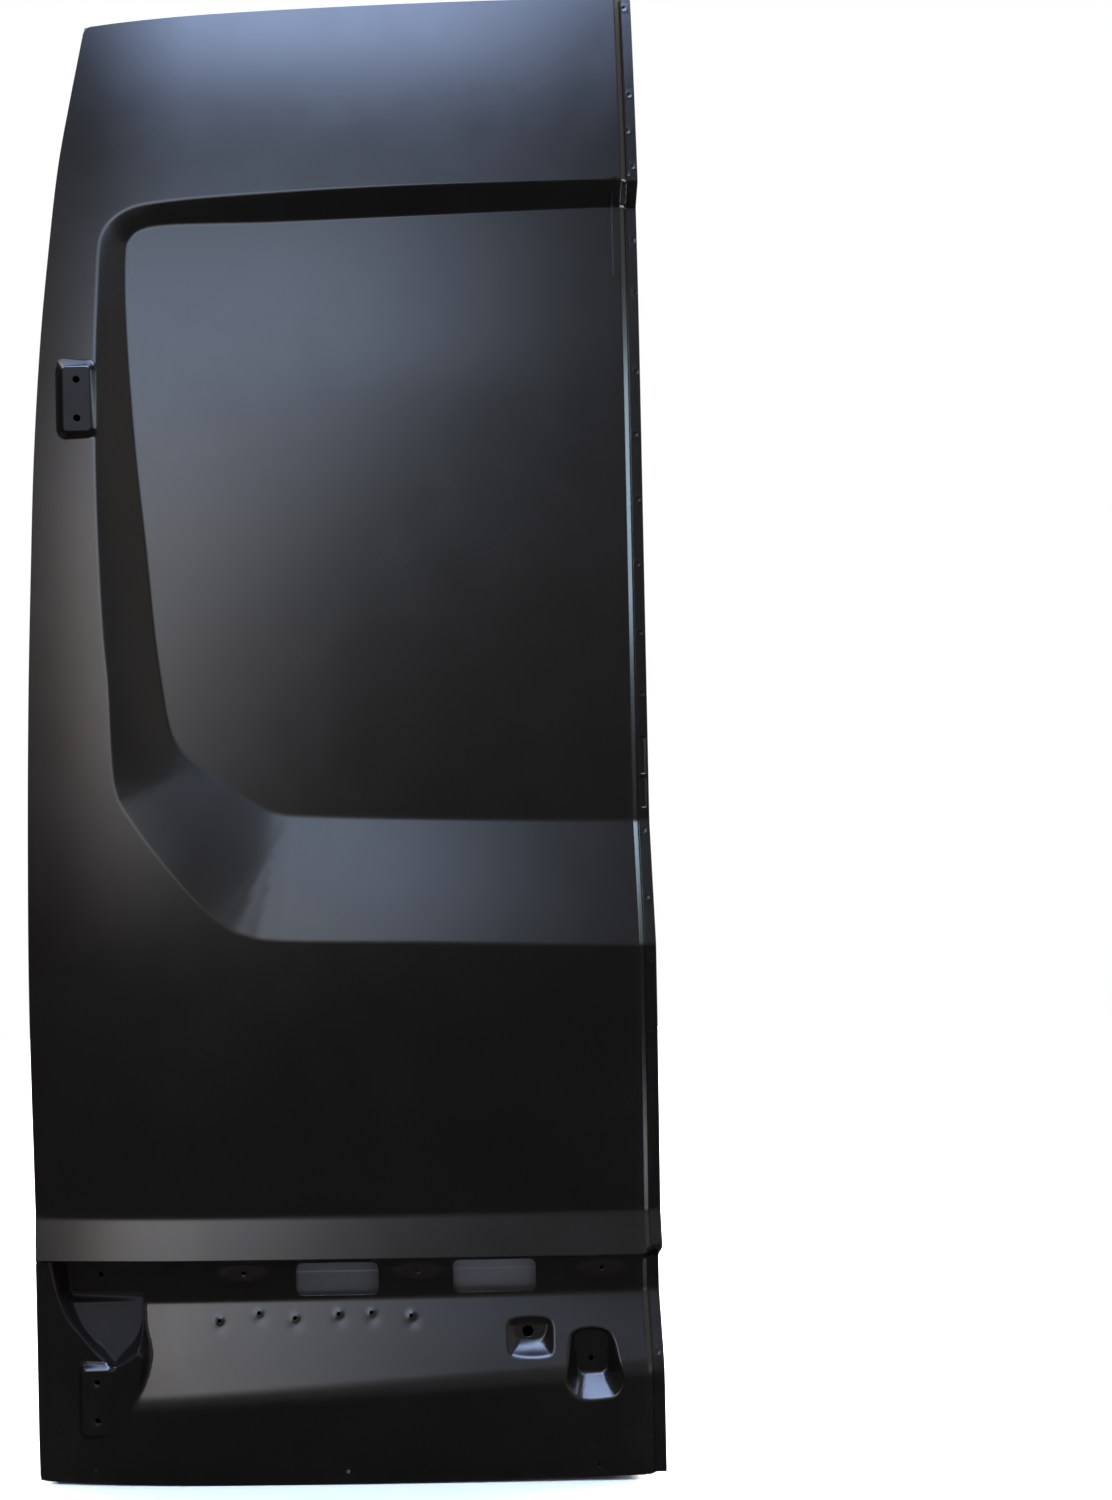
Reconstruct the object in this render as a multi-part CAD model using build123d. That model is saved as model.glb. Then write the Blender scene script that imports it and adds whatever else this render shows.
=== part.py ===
from build123d import *
import os

# ------------------------------------------------------------------ driving dimensions (mm)
# Frame: origin on the lower hinge seat, +Z up, outer face towards -Y, lock edge towards +X.
SKIN_T = 1.5            # outer sheet, measured along Y
INNER_T = 1.5           # inner sheet
HEM_T = 1.8             # folded edge behind the skin
HEM_W = 13.0            # width of the folded edge

HINGE_PITCH = 1301.5    # between the two hinge seats
BOLT_PITCH = 50.0       # two bolts per hinge
BOLT_D = 9.0
SEAT_W, SEAT_H = 36.0, 84.0
SEAT_R = 5.0

PLAN_XC, PLAN_Y0, PLAN_R1 = 715.0, -18.0, 14000.0   # plan crown of the outer face
PLAN_XB, PLAN_R2 = 150.0, 1450.0                    # tighter towards the hinge edge
LEAN_Z, LEAN_R = 1150.0, 3206.0                     # outer face leans in above this height
TUCK_Z, TUCK_R = 650.0, 7176.0                      # and tucks in below this height

X_LOCK = 715.0          # right edge of the skin
X_WALL = 721.0          # foot of the drafted side wall
X_FLANGE = 736.0        # edge of the closing flange
FLANGE_SET = 12.0       # set-back of the closing flange

STRIP_TOP, STRIP_LIP = 235.5, 181.0
LIP_OUT = -4.0          # lip depth against the plan curve
SHELF_IN = 45.0         # set-back of the lamp shelf
BAND_IN = 2.0           # bottom band
BLANK_Y = 28.0          # plane of the blank window panel

LAMP_W, LAMP_H, LAMP_R = 108.0, 42.0, 8.0
LAMPS = [(314.0, 147.5), (519.5, 148.5)]
SHELF_HOLES = [(3.0, 155.5), (191.0, 155.5), (420.0, 155.5), (660.0, 155.5)]
SHELF_HOLE_D = 6.5
PLATE_HOLES = [(159.0, 96.5), (211.0, 105.0), (258.0, 98.6), (315.0, 103.0), (358.0, 104.0), (410.0, 100.0)]
PLATE_HOLE_D = 5.0
BOTTOM_HOLES = [(-4.0, -91.0), (323.5, -93.0), (648.0, -89.0)]
BOTTOM_HOLE_D = 5.0
POCKET1_HOLE, POCKET1_HOLE_D = (561.0, 78.0), 14.0
POCKET2_HOLE, POCKET2_HOLE_D = (642.0, 42.0), 6.5

WEB_IN = 75.0           # inner panel behind the outer face
POST_X, LOCK_X = 96.0, 600.0     # inner edges of the two posts
RETURN_D = 26.0         # depth of the turned-in edges
INSET = 12.0            # inner panel wall inside the door outline

LEFT_EDGE = [(-79.0, 182.0), (-79.4, 290.0), (-80.4, 525.0), (-77.5, 730.0), (-72.6, 917.0), (-66.0, 1080.0),
             (-58.8, 1230.0), (-47.4, 1386.0), (-36.6, 1492.0), (-22.0, 1614.0), (-6.5, 1700.0), (6.0, 1765.0),
             (11.5, 1794.0)]
TOP_EDGE = [(22.0, 1803.5), (60.0, 1806.8), (170.0, 1813.5), (398.0, 1820.0), (560.0, 1822.2), (715.0, 1823.0)]
BOTTOM_EDGE = [(715.0, -103.2), (600.0, -105.0), (320.0, -109.0), (110.0, -109.0), (-66.0, -106.2)]

# blank window recess: (edge on the outer face) -> (edge on the blank panel)
RECESS = [((760, 1572.7), (760, 1545.6)), ((428, 1571), (427, 1538)), ((253, 1566.6), (252, 1533)),
          ((125, 1560), (112, 1531)), ((78, 1554), (90, 1527.5)), ((56, 1543.5), (77, 1521.5)),
          ((42, 1531), (70, 1513)), ((34, 1516), (66.5, 1507)), ((31, 1502), (65, 1498)),
          ((28, 1450), (63, 1450)), ((24, 1363), (65, 1362)), ((22, 1241), (71.5, 1241)),
          ((24, 1095), (84, 1095)), ((28, 993), (92, 992)), ((33, 929), (99.5, 929)),
          ((35, 855), (105, 890)), ((36, 830), (107.5, 878)), ((38, 802), (110.5, 866)),
          ((41, 789), (115, 856)), ((45, 777), (121, 847)), ((74, 732), (155.7, 818)),
          ((103, 694), (181, 799.5)), ((133, 658), (206, 781.5)), ((160, 630), (227, 768)),
          ((175, 618), (236, 763)), ((190, 608), (245, 759)), ((207, 602), (256, 756.3)),
          ((225, 597), (268, 754.5)), ((465, 588), (469, 746)), ((760, 579.5), (760, 738.5))]

S_CURVE = [(37.0, 200.0), (37.0, 121.0), (38.5, 110.0), (46.0, 86.0), (53.5, 70.0), (58.0, 58.0), (58.5, 45.0), (52.5, 23.0),
           (41.5, -1.4), (33.2, -26.0), (27.6, -45.5), (22.0, -70.0)]
SCOOP = [((-62, 200), (-42, 200)), ((-53, 152), (-39, 132)), ((-37, 107), (-27, 101)), ((-19, 85), (-7, 72)),
         ((-4, 60), (4, 57)), ((24, 40), (23, 47)), ((46, 48), (43, 57)), ((66, 58), (60, 68)), ((86, 72), (78, 80)),
         ((90, 112), (80, 112)), ((90, 200), (80, 200))]
POCKET1 = [((538, 92.7), (543, 90)), ((590, 92.2), (586, 89.5)), ((593, 72), (585, 78)), ((590, 52.5), (581, 70)),
           ((580, 49), (574, 67.5)), ((546, 49.5), (553, 68)), ((536.5, 53), (546, 70.5)), ((534.5, 72), (542.5, 78))]
POCKET1_IN = 34.5
POCKET2 = [((620, 78), (624, 75.5)), ((664, 78), (661, 75.5)), ((676, 42), (663, 42)), ((681, 18), (663.5, 30)),
           ((671, 0), (659, 24.5)), ((655, -4), (650, 23.5)), ((622, -3.5), (634, 23.5)), ((609, 12), (626, 25)),
           ((607.5, 20), (623, 30)), ((611, 42), (622.5, 42))]
POCKET2_IN = 30.0
FLANGE_SLOTS = [(824.0, 48.0), (776.0, 40.0)]       # height, length of two shallow pressed seats
SEAT_DEEP = 1.0
X_SPLIT = 140.0         # hinge-side part of the outer skin
Z_SPLIT = 270.0         # lower inner panel above and below this height
SERVICE_HOLES = [(175.0, 225.0, 70.0, 46.0), (521.0, 225.0, 70.0, 46.0), (348.0, 225.0, 120.0, 46.0)]

os.makedirs("parts", exist_ok=True)


# ------------------------------------------------------------------ outer face as a depth over the door plane
def plan(x):
    if x >= PLAN_XB:
        return PLAN_Y0 + (PLAN_XC - x) ** 2 / (2 * PLAN_R1)
    s = (PLAN_XC - PLAN_XB) / PLAN_R1
    d = PLAN_XB - x
    return PLAN_Y0 + (PLAN_XC - PLAN_XB) ** 2 / (2 * PLAN_R1) + s * d + d * d / (2 * PLAN_R2)


def lean(z):
    return (z - LEAN_Z) ** 2 / (2 * LEAN_R) if z > LEAN_Z else 0.0


def elev(z):
    if z < STRIP_TOP:
        return elev(STRIP_TOP) + (LIP_OUT - elev(STRIP_TOP)) * (STRIP_TOP - z) / (STRIP_TOP - STRIP_LIP)
    return (TUCK_Z - z) ** 2 / (2 * TUCK_R) if z < TUCK_Z else lean(z)


def face_top(x):
    return 118.0 + x * 7.0 / 715.0


def face_crease(x):
    return -16.0 + (x - 45.0) * 0.0607


def low(x, z):
    zt, zc = face_top(x), face_crease(x)
    if z >= zt:
        d = SHELF_IN
    elif z <= zc:
        d = BAND_IN
    else:
        d = BAND_IN + (SHELF_IN - BAND_IN) * (z - zc) / (zt - zc)
    return plan(x) + d


# ------------------------------------------------------------------ helpers
SECTIONS = [-110.0, -70.0, -30.0, 10.0, 55.0, 100.0, 150.0, 220.0, 310.0, 420.0, 540.0, 650.0, 770.0]


def ring(pts):
    return Wire([Line(pts[i], pts[(i + 1) % len(pts)]) for i in range(len(pts))])


def solid_loft(wires, ruled=False):
    return Solid.make_loft(wires, ruled)


def prism(pts, y0, y1):
    w = Wire([Line((*pts[i],), (*pts[(i + 1) % len(pts)],)) for i in range(len(pts))])
    return Solid.extrude(Face(w), Vector(0, y1 - y0, 0))


def flat(pts, y):
    return [(x, y, z) for x, z in pts]


def plate(x0, x1, y0, y1, z0, z1):
    return Pos((x0 + x1) / 2, (y0 + y1) / 2, (z0 + z1) / 2) * Box(x1 - x0, y1 - y0, z1 - z0)


def drill(x, z, d, y0=-80.0, y1=200.0):
    return Pos(x, (y0 + y1) / 2, z) * (Rot(90, 0, 0) * Cylinder(d / 2, y1 - y0))


def rounded(x, z, w, h, r, y):
    pl = Plane(origin=(x, y, z), x_dir=(1, 0, 0), z_dir=(0, -1, 0))
    return (pl * RectangleRounded(w, h, r)).face()


def slot_prism(x, z, w, h, r, y0=-80.0, y1=200.0):
    return Solid.extrude(rounded(x, z, w, h, r, y0), Vector(0, y1 - y0, 0))


def cutter(pairs, surface, y_floor, y_front):
    front, back = [], []
    for (xo, zo), (xi, zi) in pairs:
        k = (y_floor - y_front) / (y_floor - surface(xo, zo))
        front.append((xi + (xo - xi) * k, y_front, zi + (zo - zi) * k))
        back.append((xi, y_floor, zi))
    return solid_loft([ring(front), ring(back)], True)


def shift(shape, dy):
    return Pos(0, dy, 0) * shape


def solids(shape):
    return sorted(shape.solids(), key=lambda s: -s.volume)


def save(name, shape):
    got = [s for s in solids(shape) if s.volume > 20.0]
    export_step(got[0] if len(got) == 1 else Compound(children=got), "parts/" + name + ".step")
    bb = shape.bounding_box()
    print(name, len(got), [round(v, 1) for v in (bb.min.X, bb.min.Y, bb.min.Z, bb.max.X, bb.max.Y, bb.max.Z)],
          round(sum(s.volume for s in got) / 1000, 1), "cm3", flush=True)


# ------------------------------------------------------------------ door outline
def outline():
    left = [(x, z) for x, z in LEFT_EDGE]
    left = [(-73.5 - 5.0, -99.0), (-79.0, -60.0), (-79.0, 60.0)] + left
    edges = [Spline([(x, 0, z) for x, z in left]),
             Line((left[-1][0], 0, left[-1][1]), (TOP_EDGE[0][0], 0, TOP_EDGE[0][1])),
             Spline([(x, 0, z) for x, z in TOP_EDGE]),
             Line((TOP_EDGE[-1][0], 0, TOP_EDGE[-1][1]), (BOTTOM_EDGE[0][0], 0, BOTTOM_EDGE[0][1])),
             Spline([(x, 0, z) for x, z in BOTTOM_EDGE]),
             Line((BOTTOM_EDGE[-1][0], 0, BOTTOM_EDGE[-1][1]), (left[0][0], 0, left[0][1]))]
    return Wire(edges)


def side_offset(pts, inset, reach=60.0):
    first, last = pts[0], pts[-1]
    d0 = ((pts[0][0] - pts[1][0]), (pts[0][1] - pts[1][1]))
    d1 = ((pts[-1][0] - pts[-2][0]), (pts[-1][1] - pts[-2][1]))
    n0, n1 = (d0[0] ** 2 + d0[1] ** 2) ** 0.5, (d1[0] ** 2 + d1[1] ** 2) ** 0.5
    ext = [(first[0] + d0[0] / n0 * reach, first[1] + d0[1] / n0 * reach)] + pts
    ext += [(last[0] + d1[0] / n1 * reach, last[1] + d1[1] / n1 * reach)]
    got = []
    for i, (x, z) in enumerate(ext):
        a, b = ext[max(i - 1, 0)], ext[min(i + 1, len(ext) - 1)]
        dx, dz = b[0] - a[0], b[1] - a[1]
        n = (dx * dx + dz * dz) ** 0.5
        got.append((x + dz / n * inset, z - dx / n * inset))
    return got


def meet(p, q):
    for i in range(len(p) - 1, 0, -1):
        for j in range(len(q) - 1):
            (x1, z1), (x2, z2), (x3, z3), (x4, z4) = p[i - 1], p[i], q[j], q[j + 1]
            d = (x2 - x1) * (z4 - z3) - (z2 - z1) * (x4 - x3)
            if abs(d) < 1e-9:
                continue
            t = ((x3 - x1) * (z4 - z3) - (z3 - z1) * (x4 - x3)) / d
            u = ((x3 - x1) * (z2 - z1) - (z3 - z1) * (x2 - x1)) / d
            if 0 <= t <= 1 and 0 <= u <= 1:
                c = (x1 + t * (x2 - x1), z1 + t * (z2 - z1))
                return c, i, j
    raise ValueError("sides do not meet")


def far(pts, c, gap=14.0):
    return [p for p in pts if (p[0] - c[0]) ** 2 + (p[1] - c[1]) ** 2 > gap * gap]


def inset_wire(inset):
    left = side_offset([(-78.5, -99.0), (-79.0, -60.0), (-79.0, 60.0)] + LEFT_EDGE, inset)
    top = side_offset(TOP_EDGE, inset)
    right = side_offset([(X_LOCK, 1823.0), (X_LOCK, 900.0), (X_LOCK, -103.2)], inset)
    bottom = side_offset(BOTTOM_EDGE + [(-78.5, -106.0)], inset)
    sides = [left, top, right, bottom]
    corners = [meet(sides[i], sides[(i + 1) % 4]) for i in range(4)]
    edges = []
    for i in range(4):
        start, end = corners[i - 1], corners[i]
        mid = far(far(sides[i][start[2] + 1:end[1]], start[0]), end[0])
        pts = [(x, 0, z) for x, z in [start[0]] + mid + [end[0]]]
        edges.append(Line(pts[0], pts[-1]) if i == 2 else Spline(pts))
    return Wire(edges)


def outline_prism(inset=0.0, y0=-90.0, y1=230.0):
    f = Face(inset_wire(inset) if inset else outline())
    return shift(Solid.extrude(f, Vector(0, y1 - y0, 0)), y0)


# ------------------------------------------------------------------ solid behind the outer face
def upper_section(x):
    p = plan(x)
    z0, z1 = 160.0, 1850.0
    zm1, zm2 = (STRIP_TOP + TUCK_Z) / 2, (LEAN_Z + z1) / 2
    a = (x, p + elev(z0), z0)
    b = (x, p + elev(STRIP_TOP), STRIP_TOP)
    c = (x, p, TUCK_Z)
    d = (x, p, LEAN_Z)
    e = (x, p + elev(z1), z1)
    return Wire([Line(a, b), ThreePointArc(b, (x, p + elev(zm1), zm1), c), Line(c, d),
                 ThreePointArc(d, (x, p + elev(zm2), zm2), e),
                 Line(e, (x, 220.0, z1)), Line((x, 220.0, z1), (x, 220.0, z0)), Line((x, 220.0, z0), a)])


def lower_section(x):
    zt, zc = face_top(x), face_crease(x)
    pts = [(215.0, low(x, 215.0)), (zt, low(x, zt)), (zc, low(x, zc)), (-140.0, low(x, -140.0)),
           (-140.0, 220.0), (215.0, 220.0)]
    return ring([(x, y, z) for z, y in pts])


def band_section(x):
    p = plan(x) + BAND_IN
    return ring([(x, p, 215.0), (x, p, -140.0), (x, 220.0, -140.0), (x, 220.0, 215.0)])


def shelf_section(x):
    p = plan(x) + SHELF_IN
    return ring([(x, p, 230.0), (x, p, -150.0), (x, 225.0, -150.0), (x, 225.0, 230.0)])


def pad(zc, rise):
    k = (rise + 12.0) / rise
    a = rounded(0, zc, SEAT_W, SEAT_H, SEAT_R, 0.0)
    b = rounded(0, zc, SEAT_W + 12.0 * k, SEAT_H + 18.0 * k, SEAT_R + 4.0, rise + 12.0)
    return solid_loft([a.outer_wire(), b.outer_wire()], True)


base = solid_loft([upper_section(x) for x in SECTIONS])
recess = cutter(RECESS, lambda x, z: plan(x) + elev(z), BLANK_Y, -26.0)
upper = base - recess + pad(HINGE_PITCH, 10.8)

plate_body = solid_loft([lower_section(x) for x in SECTIONS])
corner = solid_loft([band_section(x) for x in SECTIONS])
s_front = [(x - 36.0, z) for x, z in S_CURVE]
s_back = [(x + 60.0, z) for x, z in S_CURVE]
corner_side = solid_loft([ring(flat([(-150.0, 230.0), (s_front[0][0], 230.0)] + s_front[1:-1] + [(s_front[-1][0], -150.0), (-150.0, -150.0)], -55.0)),
                          ring(flat([(-150.0, 230.0), (s_back[0][0], 230.0)] + s_back[1:-1] + [(s_back[-1][0], -150.0), (-150.0, -150.0)], 105.0))], True)
corner_block = corner & corner_side
scoop_front, scoop_back = [], []
for (xo, zo), (xi, zi) in SCOOP:
    yi = 23.3 + 0.3207 * (zi - 60.0)
    yo = plan(0.0) + BAND_IN
    k = (yi + 30.0) / max(yi - yo, 6.0)
    scoop_front.append((xi + (xo - xi) * k, -30.0, zi + (zo - zi) * k))
    scoop_back.append((xi, yi, zi))
scoop = solid_loft([ring(scoop_front), ring(scoop_back)], True) - solid_loft([shelf_section(x) for x in SECTIONS])
pocket1 = cutter(POCKET1, low, plan(563.0) + POCKET1_IN, -45.0)
pocket2 = cutter(POCKET2, low, plan(644.0) + POCKET2_IN, -45.0)
lower = plate_body + corner_block - scoop + pad(0.0, 9.2) - pocket1 - pocket2

door = outline_prism()
upper_zone = plate(-150, 800, -90, 230, STRIP_LIP, 1900)
lower_zone = plate(-150, 800, -90, 230, -160, STRIP_LIP)

bolts = [(0.0, s * BOLT_PITCH / 2) for s in (-1, 1)] + [(0.0, HINGE_PITCH + s * BOLT_PITCH / 2) for s in (-1, 1)]


# ------------------------------------------------------------------ outer skins
def return_section(x):
    p = plan(x)
    return ring([(x, p + LIP_OUT + 0.75, STRIP_LIP), (x, p + SHELF_IN + SKIN_T, STRIP_LIP),
                 (x, p + SHELF_IN + SKIN_T, STRIP_LIP + SKIN_T), (x, p + LIP_OUT + 0.75, STRIP_LIP + SKIN_T)])


upper_skin = (upper & door & upper_zone) - shift(upper, SKIN_T)
ledge_return = solid_loft([return_section(x) for x in SECTIONS]) & door
upper_skin = upper_skin + ledge_return
for x, z in bolts[2:]:
    upper_skin -= drill(x, z, BOLT_D)
save("upper_outer_skin", upper_skin & plate(X_SPLIT, 800, -90, 230, 170, 1900))
save("hinge_side_outer_skin", upper_skin & plate(-150, X_SPLIT, -90, 230, 170, 1900))

lower_skin = (lower & door & lower_zone) - shift(lower, SKIN_T)
for x, z in bolts[:2]:
    lower_skin -= drill(x, z, BOLT_D)
for x, z in LAMPS:
    lower_skin -= slot_prism(x, z, LAMP_W, LAMP_H, LAMP_R)
for holes, d in ((SHELF_HOLES, SHELF_HOLE_D), (PLATE_HOLES, PLATE_HOLE_D), (BOTTOM_HOLES, BOTTOM_HOLE_D),
                 ([POCKET1_HOLE], POCKET1_HOLE_D), ([POCKET2_HOLE], POCKET2_HOLE_D)):
    for x, z in holes:
        lower_skin -= drill(x, z, d)
right_of = [(X_SPLIT, -160.0), (760.0, -160.0), (760.0, face_top(760.0)), (X_SPLIT, face_top(X_SPLIT))]
above = [(X_SPLIT, face_top(X_SPLIT)), (760.0, face_top(760.0)), (760.0, 200.0), (X_SPLIT, 200.0)]
save("lower_outer_skin", lower_skin & prism(flat(right_of, -90.0), -90.0, 230.0))
shelf = lower_skin & prism(flat(above, -90.0), -90.0, 230.0)
bands = []                  # strips over and under each lamp cut-out, mitred at its corners
mitre = LAMP_R * (1 - 0.5 ** 0.5)
for x, z in LAMPS:
    w, h = LAMP_W / 2 - mitre, LAMP_H / 2 - mitre
    for s in (1, -1):
        edge = [(x - w, z + s * h), (x + w, z + s * h), (x + w + 20.0, z + s * (h + 20.0)), (x - w - 20.0, z + s * (h + 20.0))]
        bands.append(prism(flat(edge, -90.0), -90.0, 230.0))
strips = []
for b in bands:
    strips += (shelf & b).solids()
for b in bands:
    shelf -= b
save("lamp_shelf_skin", shelf)
save("lamp_surround_strips", Compound(children=strips))
save("hinge_corner_skin", lower_skin & plate(-150, X_SPLIT, -90, 230, -160, 200))

# ------------------------------------------------------------------ lock edge: side wall and closing flange
FLANGE_T = 2.0
xr = X_LOCK
edge_line = [(-97.0, low(xr, -97.0)), (face_crease(xr), low(xr, face_crease(xr))), (face_top(xr), low(xr, face_top(xr))),
             (168.0, low(xr, 168.0))]
edge_line += [(z, plan(xr) + elev(z)) for z in (192.0, STRIP_TOP, 300.0, 380.0, 460.0, 540.0, 580.8)]
edge_line += [(739.8, BLANK_Y), (1545.4, BLANK_Y)]
edge_line += [(z, plan(xr) + elev(z)) for z in (1572.6, 1620.0, 1680.0, 1740.0, 1790.0, 1819.0)]


def flange_ring(x, set_back):
    front = [(x, y + set_back, z) for z, y in edge_line]
    back = [(x, y + set_back + FLANGE_T, z) for z, y in reversed(edge_line)]
    return ring(front + back)


lock_flange = solid_loft([flange_ring(X_LOCK, 0.0), flange_ring(X_WALL, FLANGE_SET), flange_ring(X_FLANGE, FLANGE_SET)], True)
for z, h in FLANGE_SLOTS:
    lock_flange -= slot_prism(728.5, z, 7.0, h, 3.4, 20.0, BLANK_Y + FLANGE_SET + SEAT_DEEP)
save("lock_edge_flange", lock_flange)

# ------------------------------------------------------------------ folded edges behind the skin
band = outline_prism(0.8) - outline_prism(0.8 + HEM_W)
hem_up = ((shift(upper, SKIN_T) & plate(-150, 690, -90, 230, 192, 1900)) & band) - shift(upper, SKIN_T + HEM_T)
hem_low = ((shift(lower, SKIN_T) & plate(-150, 690, -90, 230, -160, 172)) & band) - shift(lower, SKIN_T + HEM_T)
save("top_edge_hem", hem_up & plate(-150, 690, -90, 230, 1786, 1900))
save("hinge_edge_hem", (hem_up & plate(-150, 690, -90, 230, 192, 1786)) + (hem_low & plate(-150, 690, -90, 230, -88, 172)))
save("bottom_edge_hem", (hem_low & plate(-150, 690, -90, 230, -160, -88)) - drill(*BOTTOM_HOLES[0], 7.0) - drill(*BOTTOM_HOLES[1], 7.0) - drill(*BOTTOM_HOLES[2], 7.0))


# ------------------------------------------------------------------ inner panel
def web_section(x):
    p = plan(x) + WEB_IN
    z0, z1 = -140.0, 1850.0
    zm = (LEAN_Z + z1) / 2
    a, b, c = (x, p, z0), (x, p, LEAN_Z), (x, p + lean(z1), z1)
    return Wire([Line(a, b), ThreePointArc(b, (x, p + lean(zm), zm), c), Line(c, (x, 320.0, z1)),
                 Line((x, 320.0, z1), (x, 320.0, z0)), Line((x, 320.0, z0), a)])


web = solid_loft([web_section(x) for x in SECTIONS])
inside = outline_prism(INSET)
web_back = shift(web, INNER_T)
web_sheet = (web & inside) - web_back
off = SKIN_T + HEM_T
behind_up = shift(upper, off) & plate(-150, 800, -90, 230, 192, 1900)
behind_low = shift(lower, off) & plate(-150, 800, -90, 230, -160, 172)
behind_mid = shift(web, -WEB_IN + SHELF_IN + off + 2.5) & plate(-150, 800, -90, 230, 172, 192)
wall_band = inside - outline_prism(INSET + INNER_T)
wall = ((wall_band & behind_up) + (wall_band & behind_low) + (wall_band & behind_mid)) - web
panel = web_sheet + wall
reach = shift(web, -RETURN_D) - web_back


def zone(x0, x1, z0, z1):
    return plate(x0, x1, -90, 230, z0, z1)


hinge_post = (panel & zone(-150, POST_X, -160, 1900)) + (reach & zone(POST_X - INNER_T, POST_X, -70, 1760))
lock_post = (panel & zone(LOCK_X, 800, -160, 1900)) + (reach & zone(LOCK_X, LOCK_X + INNER_T, -70, 1760))
top_rail = (panel & zone(POST_X, LOCK_X, 1590, 1900)) + (reach & zone(POST_X, LOCK_X, 1590, 1590 + INNER_T))
waist_rail = (panel & zone(POST_X, LOCK_X, 560, 740)) + (reach & zone(POST_X, LOCK_X, 740 - INNER_T, 740))
lower_panel = panel & zone(POST_X, LOCK_X, 20, 560)
lower_panel -= slot_prism(348.0, 410.0, 396.0, 240.0, 30.0)
for x, z, w, h in SERVICE_HOLES:
    lower_panel -= slot_prism(x, z, w, h, 12.0)
bottom_rail = panel & zone(POST_X, LOCK_X, -160, 20)
for x in (190.0, 348.0, 506.0):
    bottom_rail -= slot_prism(x, -40.0, 70.0, 40.0, 14.0, 20.0)
for z in (150.0, 420.0, 900.0, 1150.0, 1480.0):
    hinge_post -= slot_prism(40.0, z, 44.0, 70.0, 14.0, 45.0)
for z in (230.0, 355.0, 480.0, 960.0, 1200.0, 1440.0):
    lock_post -= slot_prism(652.0, z, 44.0, 76.0, 14.0, 40.0)
for x in (200.0, 348.0, 496.0):
    top_rail -= slot_prism(x, 1690.0, 90.0, 50.0, 16.0, 60.0)
save("inner_hinge_post", hinge_post)
save("inner_lock_post", lock_post)
save("inner_top_rail", top_rail)
save("inner_waist_rail", waist_rail)
save("inner_lower_panel", lower_panel & zone(POST_X, LOCK_X, Z_SPLIT, 560))
save("inner_lamp_panel", lower_panel & zone(POST_X, LOCK_X, 20, Z_SPLIT))
save("inner_bottom_rail", bottom_rail)

# ------------------------------------------------------------------ hinge reinforcements and nut plates
REINF_T = 2.5
for name, body, zc, x0, x1, h in (("upper", upper, HINGE_PITCH, -26.0, 40.0, 80.0), ("lower", lower, 0.0, -54.0, 40.0, 66.0)):
    r = (shift(body, SKIN_T) & zone(x0, x1, zc - h, zc + h)) - shift(body, SKIN_T + REINF_T)
    n = plate(-14, 14, SKIN_T + REINF_T, SKIN_T + REINF_T + 8, zc - 36, zc + 36)
    for s in (-1, 1):
        r -= drill(0, zc + s * BOLT_PITCH / 2, BOLT_D)
        n -= drill(0, zc + s * BOLT_PITCH / 2, BOLT_D)
    save(name + "_hinge_reinforcement", r)
    save(name + "_hinge_nut_plate", n)


# ------------------------------------------------------------------ brackets on the inner panel
def on_web(x0, x1, z0, z1, t):
    return (web_back & zone(x0, x1, z0, z1)) - shift(web, INNER_T + t)


def tab(x0, x1, z0, z1, d):
    return (web_back & zone(x0, x1, z0, z1)) - shift(web, INNER_T + d)


upper_latch = on_web(622, 688, 1690, 1770, 2.5) + tab(622, 688, 1767.5, 1770, 22.0)
lower_latch = on_web(622, 688, -70, 10, 2.5) + tab(622, 688, -70, -67.5, 22.0)
upper_latch = upper_latch - drill(638, 1725, 7.0, 30) - drill(672, 1725, 7.0, 30)
lower_latch = lower_latch - drill(638, -25, 7.0, 30) - drill(672, -25, 7.0, 30)
save("upper_latch_bracket", upper_latch)
save("lower_latch_bracket", lower_latch)
carrier = on_web(616, 690, 620, 800, 2.5) - slot_prism(652, 710, 30, 70, 10, 40)
for x, z in ((628, 640), (678, 640), (628, 780), (678, 780)):
    carrier -= drill(x, z, 7.0, 30)
save("lock_carrier_plate", carrier)
strap = on_web(-20, 70, 540, 620, 2.5) + tab(-20, -17.5, 540, 620, 20.0)
strap = strap - drill(5, 580, 8.0, 30) - drill(50, 580, 8.0, 30)
save("check_strap_bracket", strap)

# ------------------------------------------------------------------ stiffeners behind the blank panel
pads = []
for name, zc in (("upper", 1290.0), ("lower", 1000.0)):
    bar = plate(POST_X, LOCK_X, 38, 39.5, zc - 30, zc + 30)
    bar += plate(POST_X, LOCK_X, 38, 52, zc + 28.5, zc + 30) + plate(POST_X, LOCK_X, 38, 52, zc - 30, zc - 28.5)
    save(name + "_skin_stiffener", bar)
    pads += [plate(x - 22, x + 22, BLANK_Y + SKIN_T, 38, zc - 14, zc + 14) for x in (190.0, 348.0, 506.0)]
save("skin_damping_pads", Compound(children=[p.solid() for p in pads]))

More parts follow.
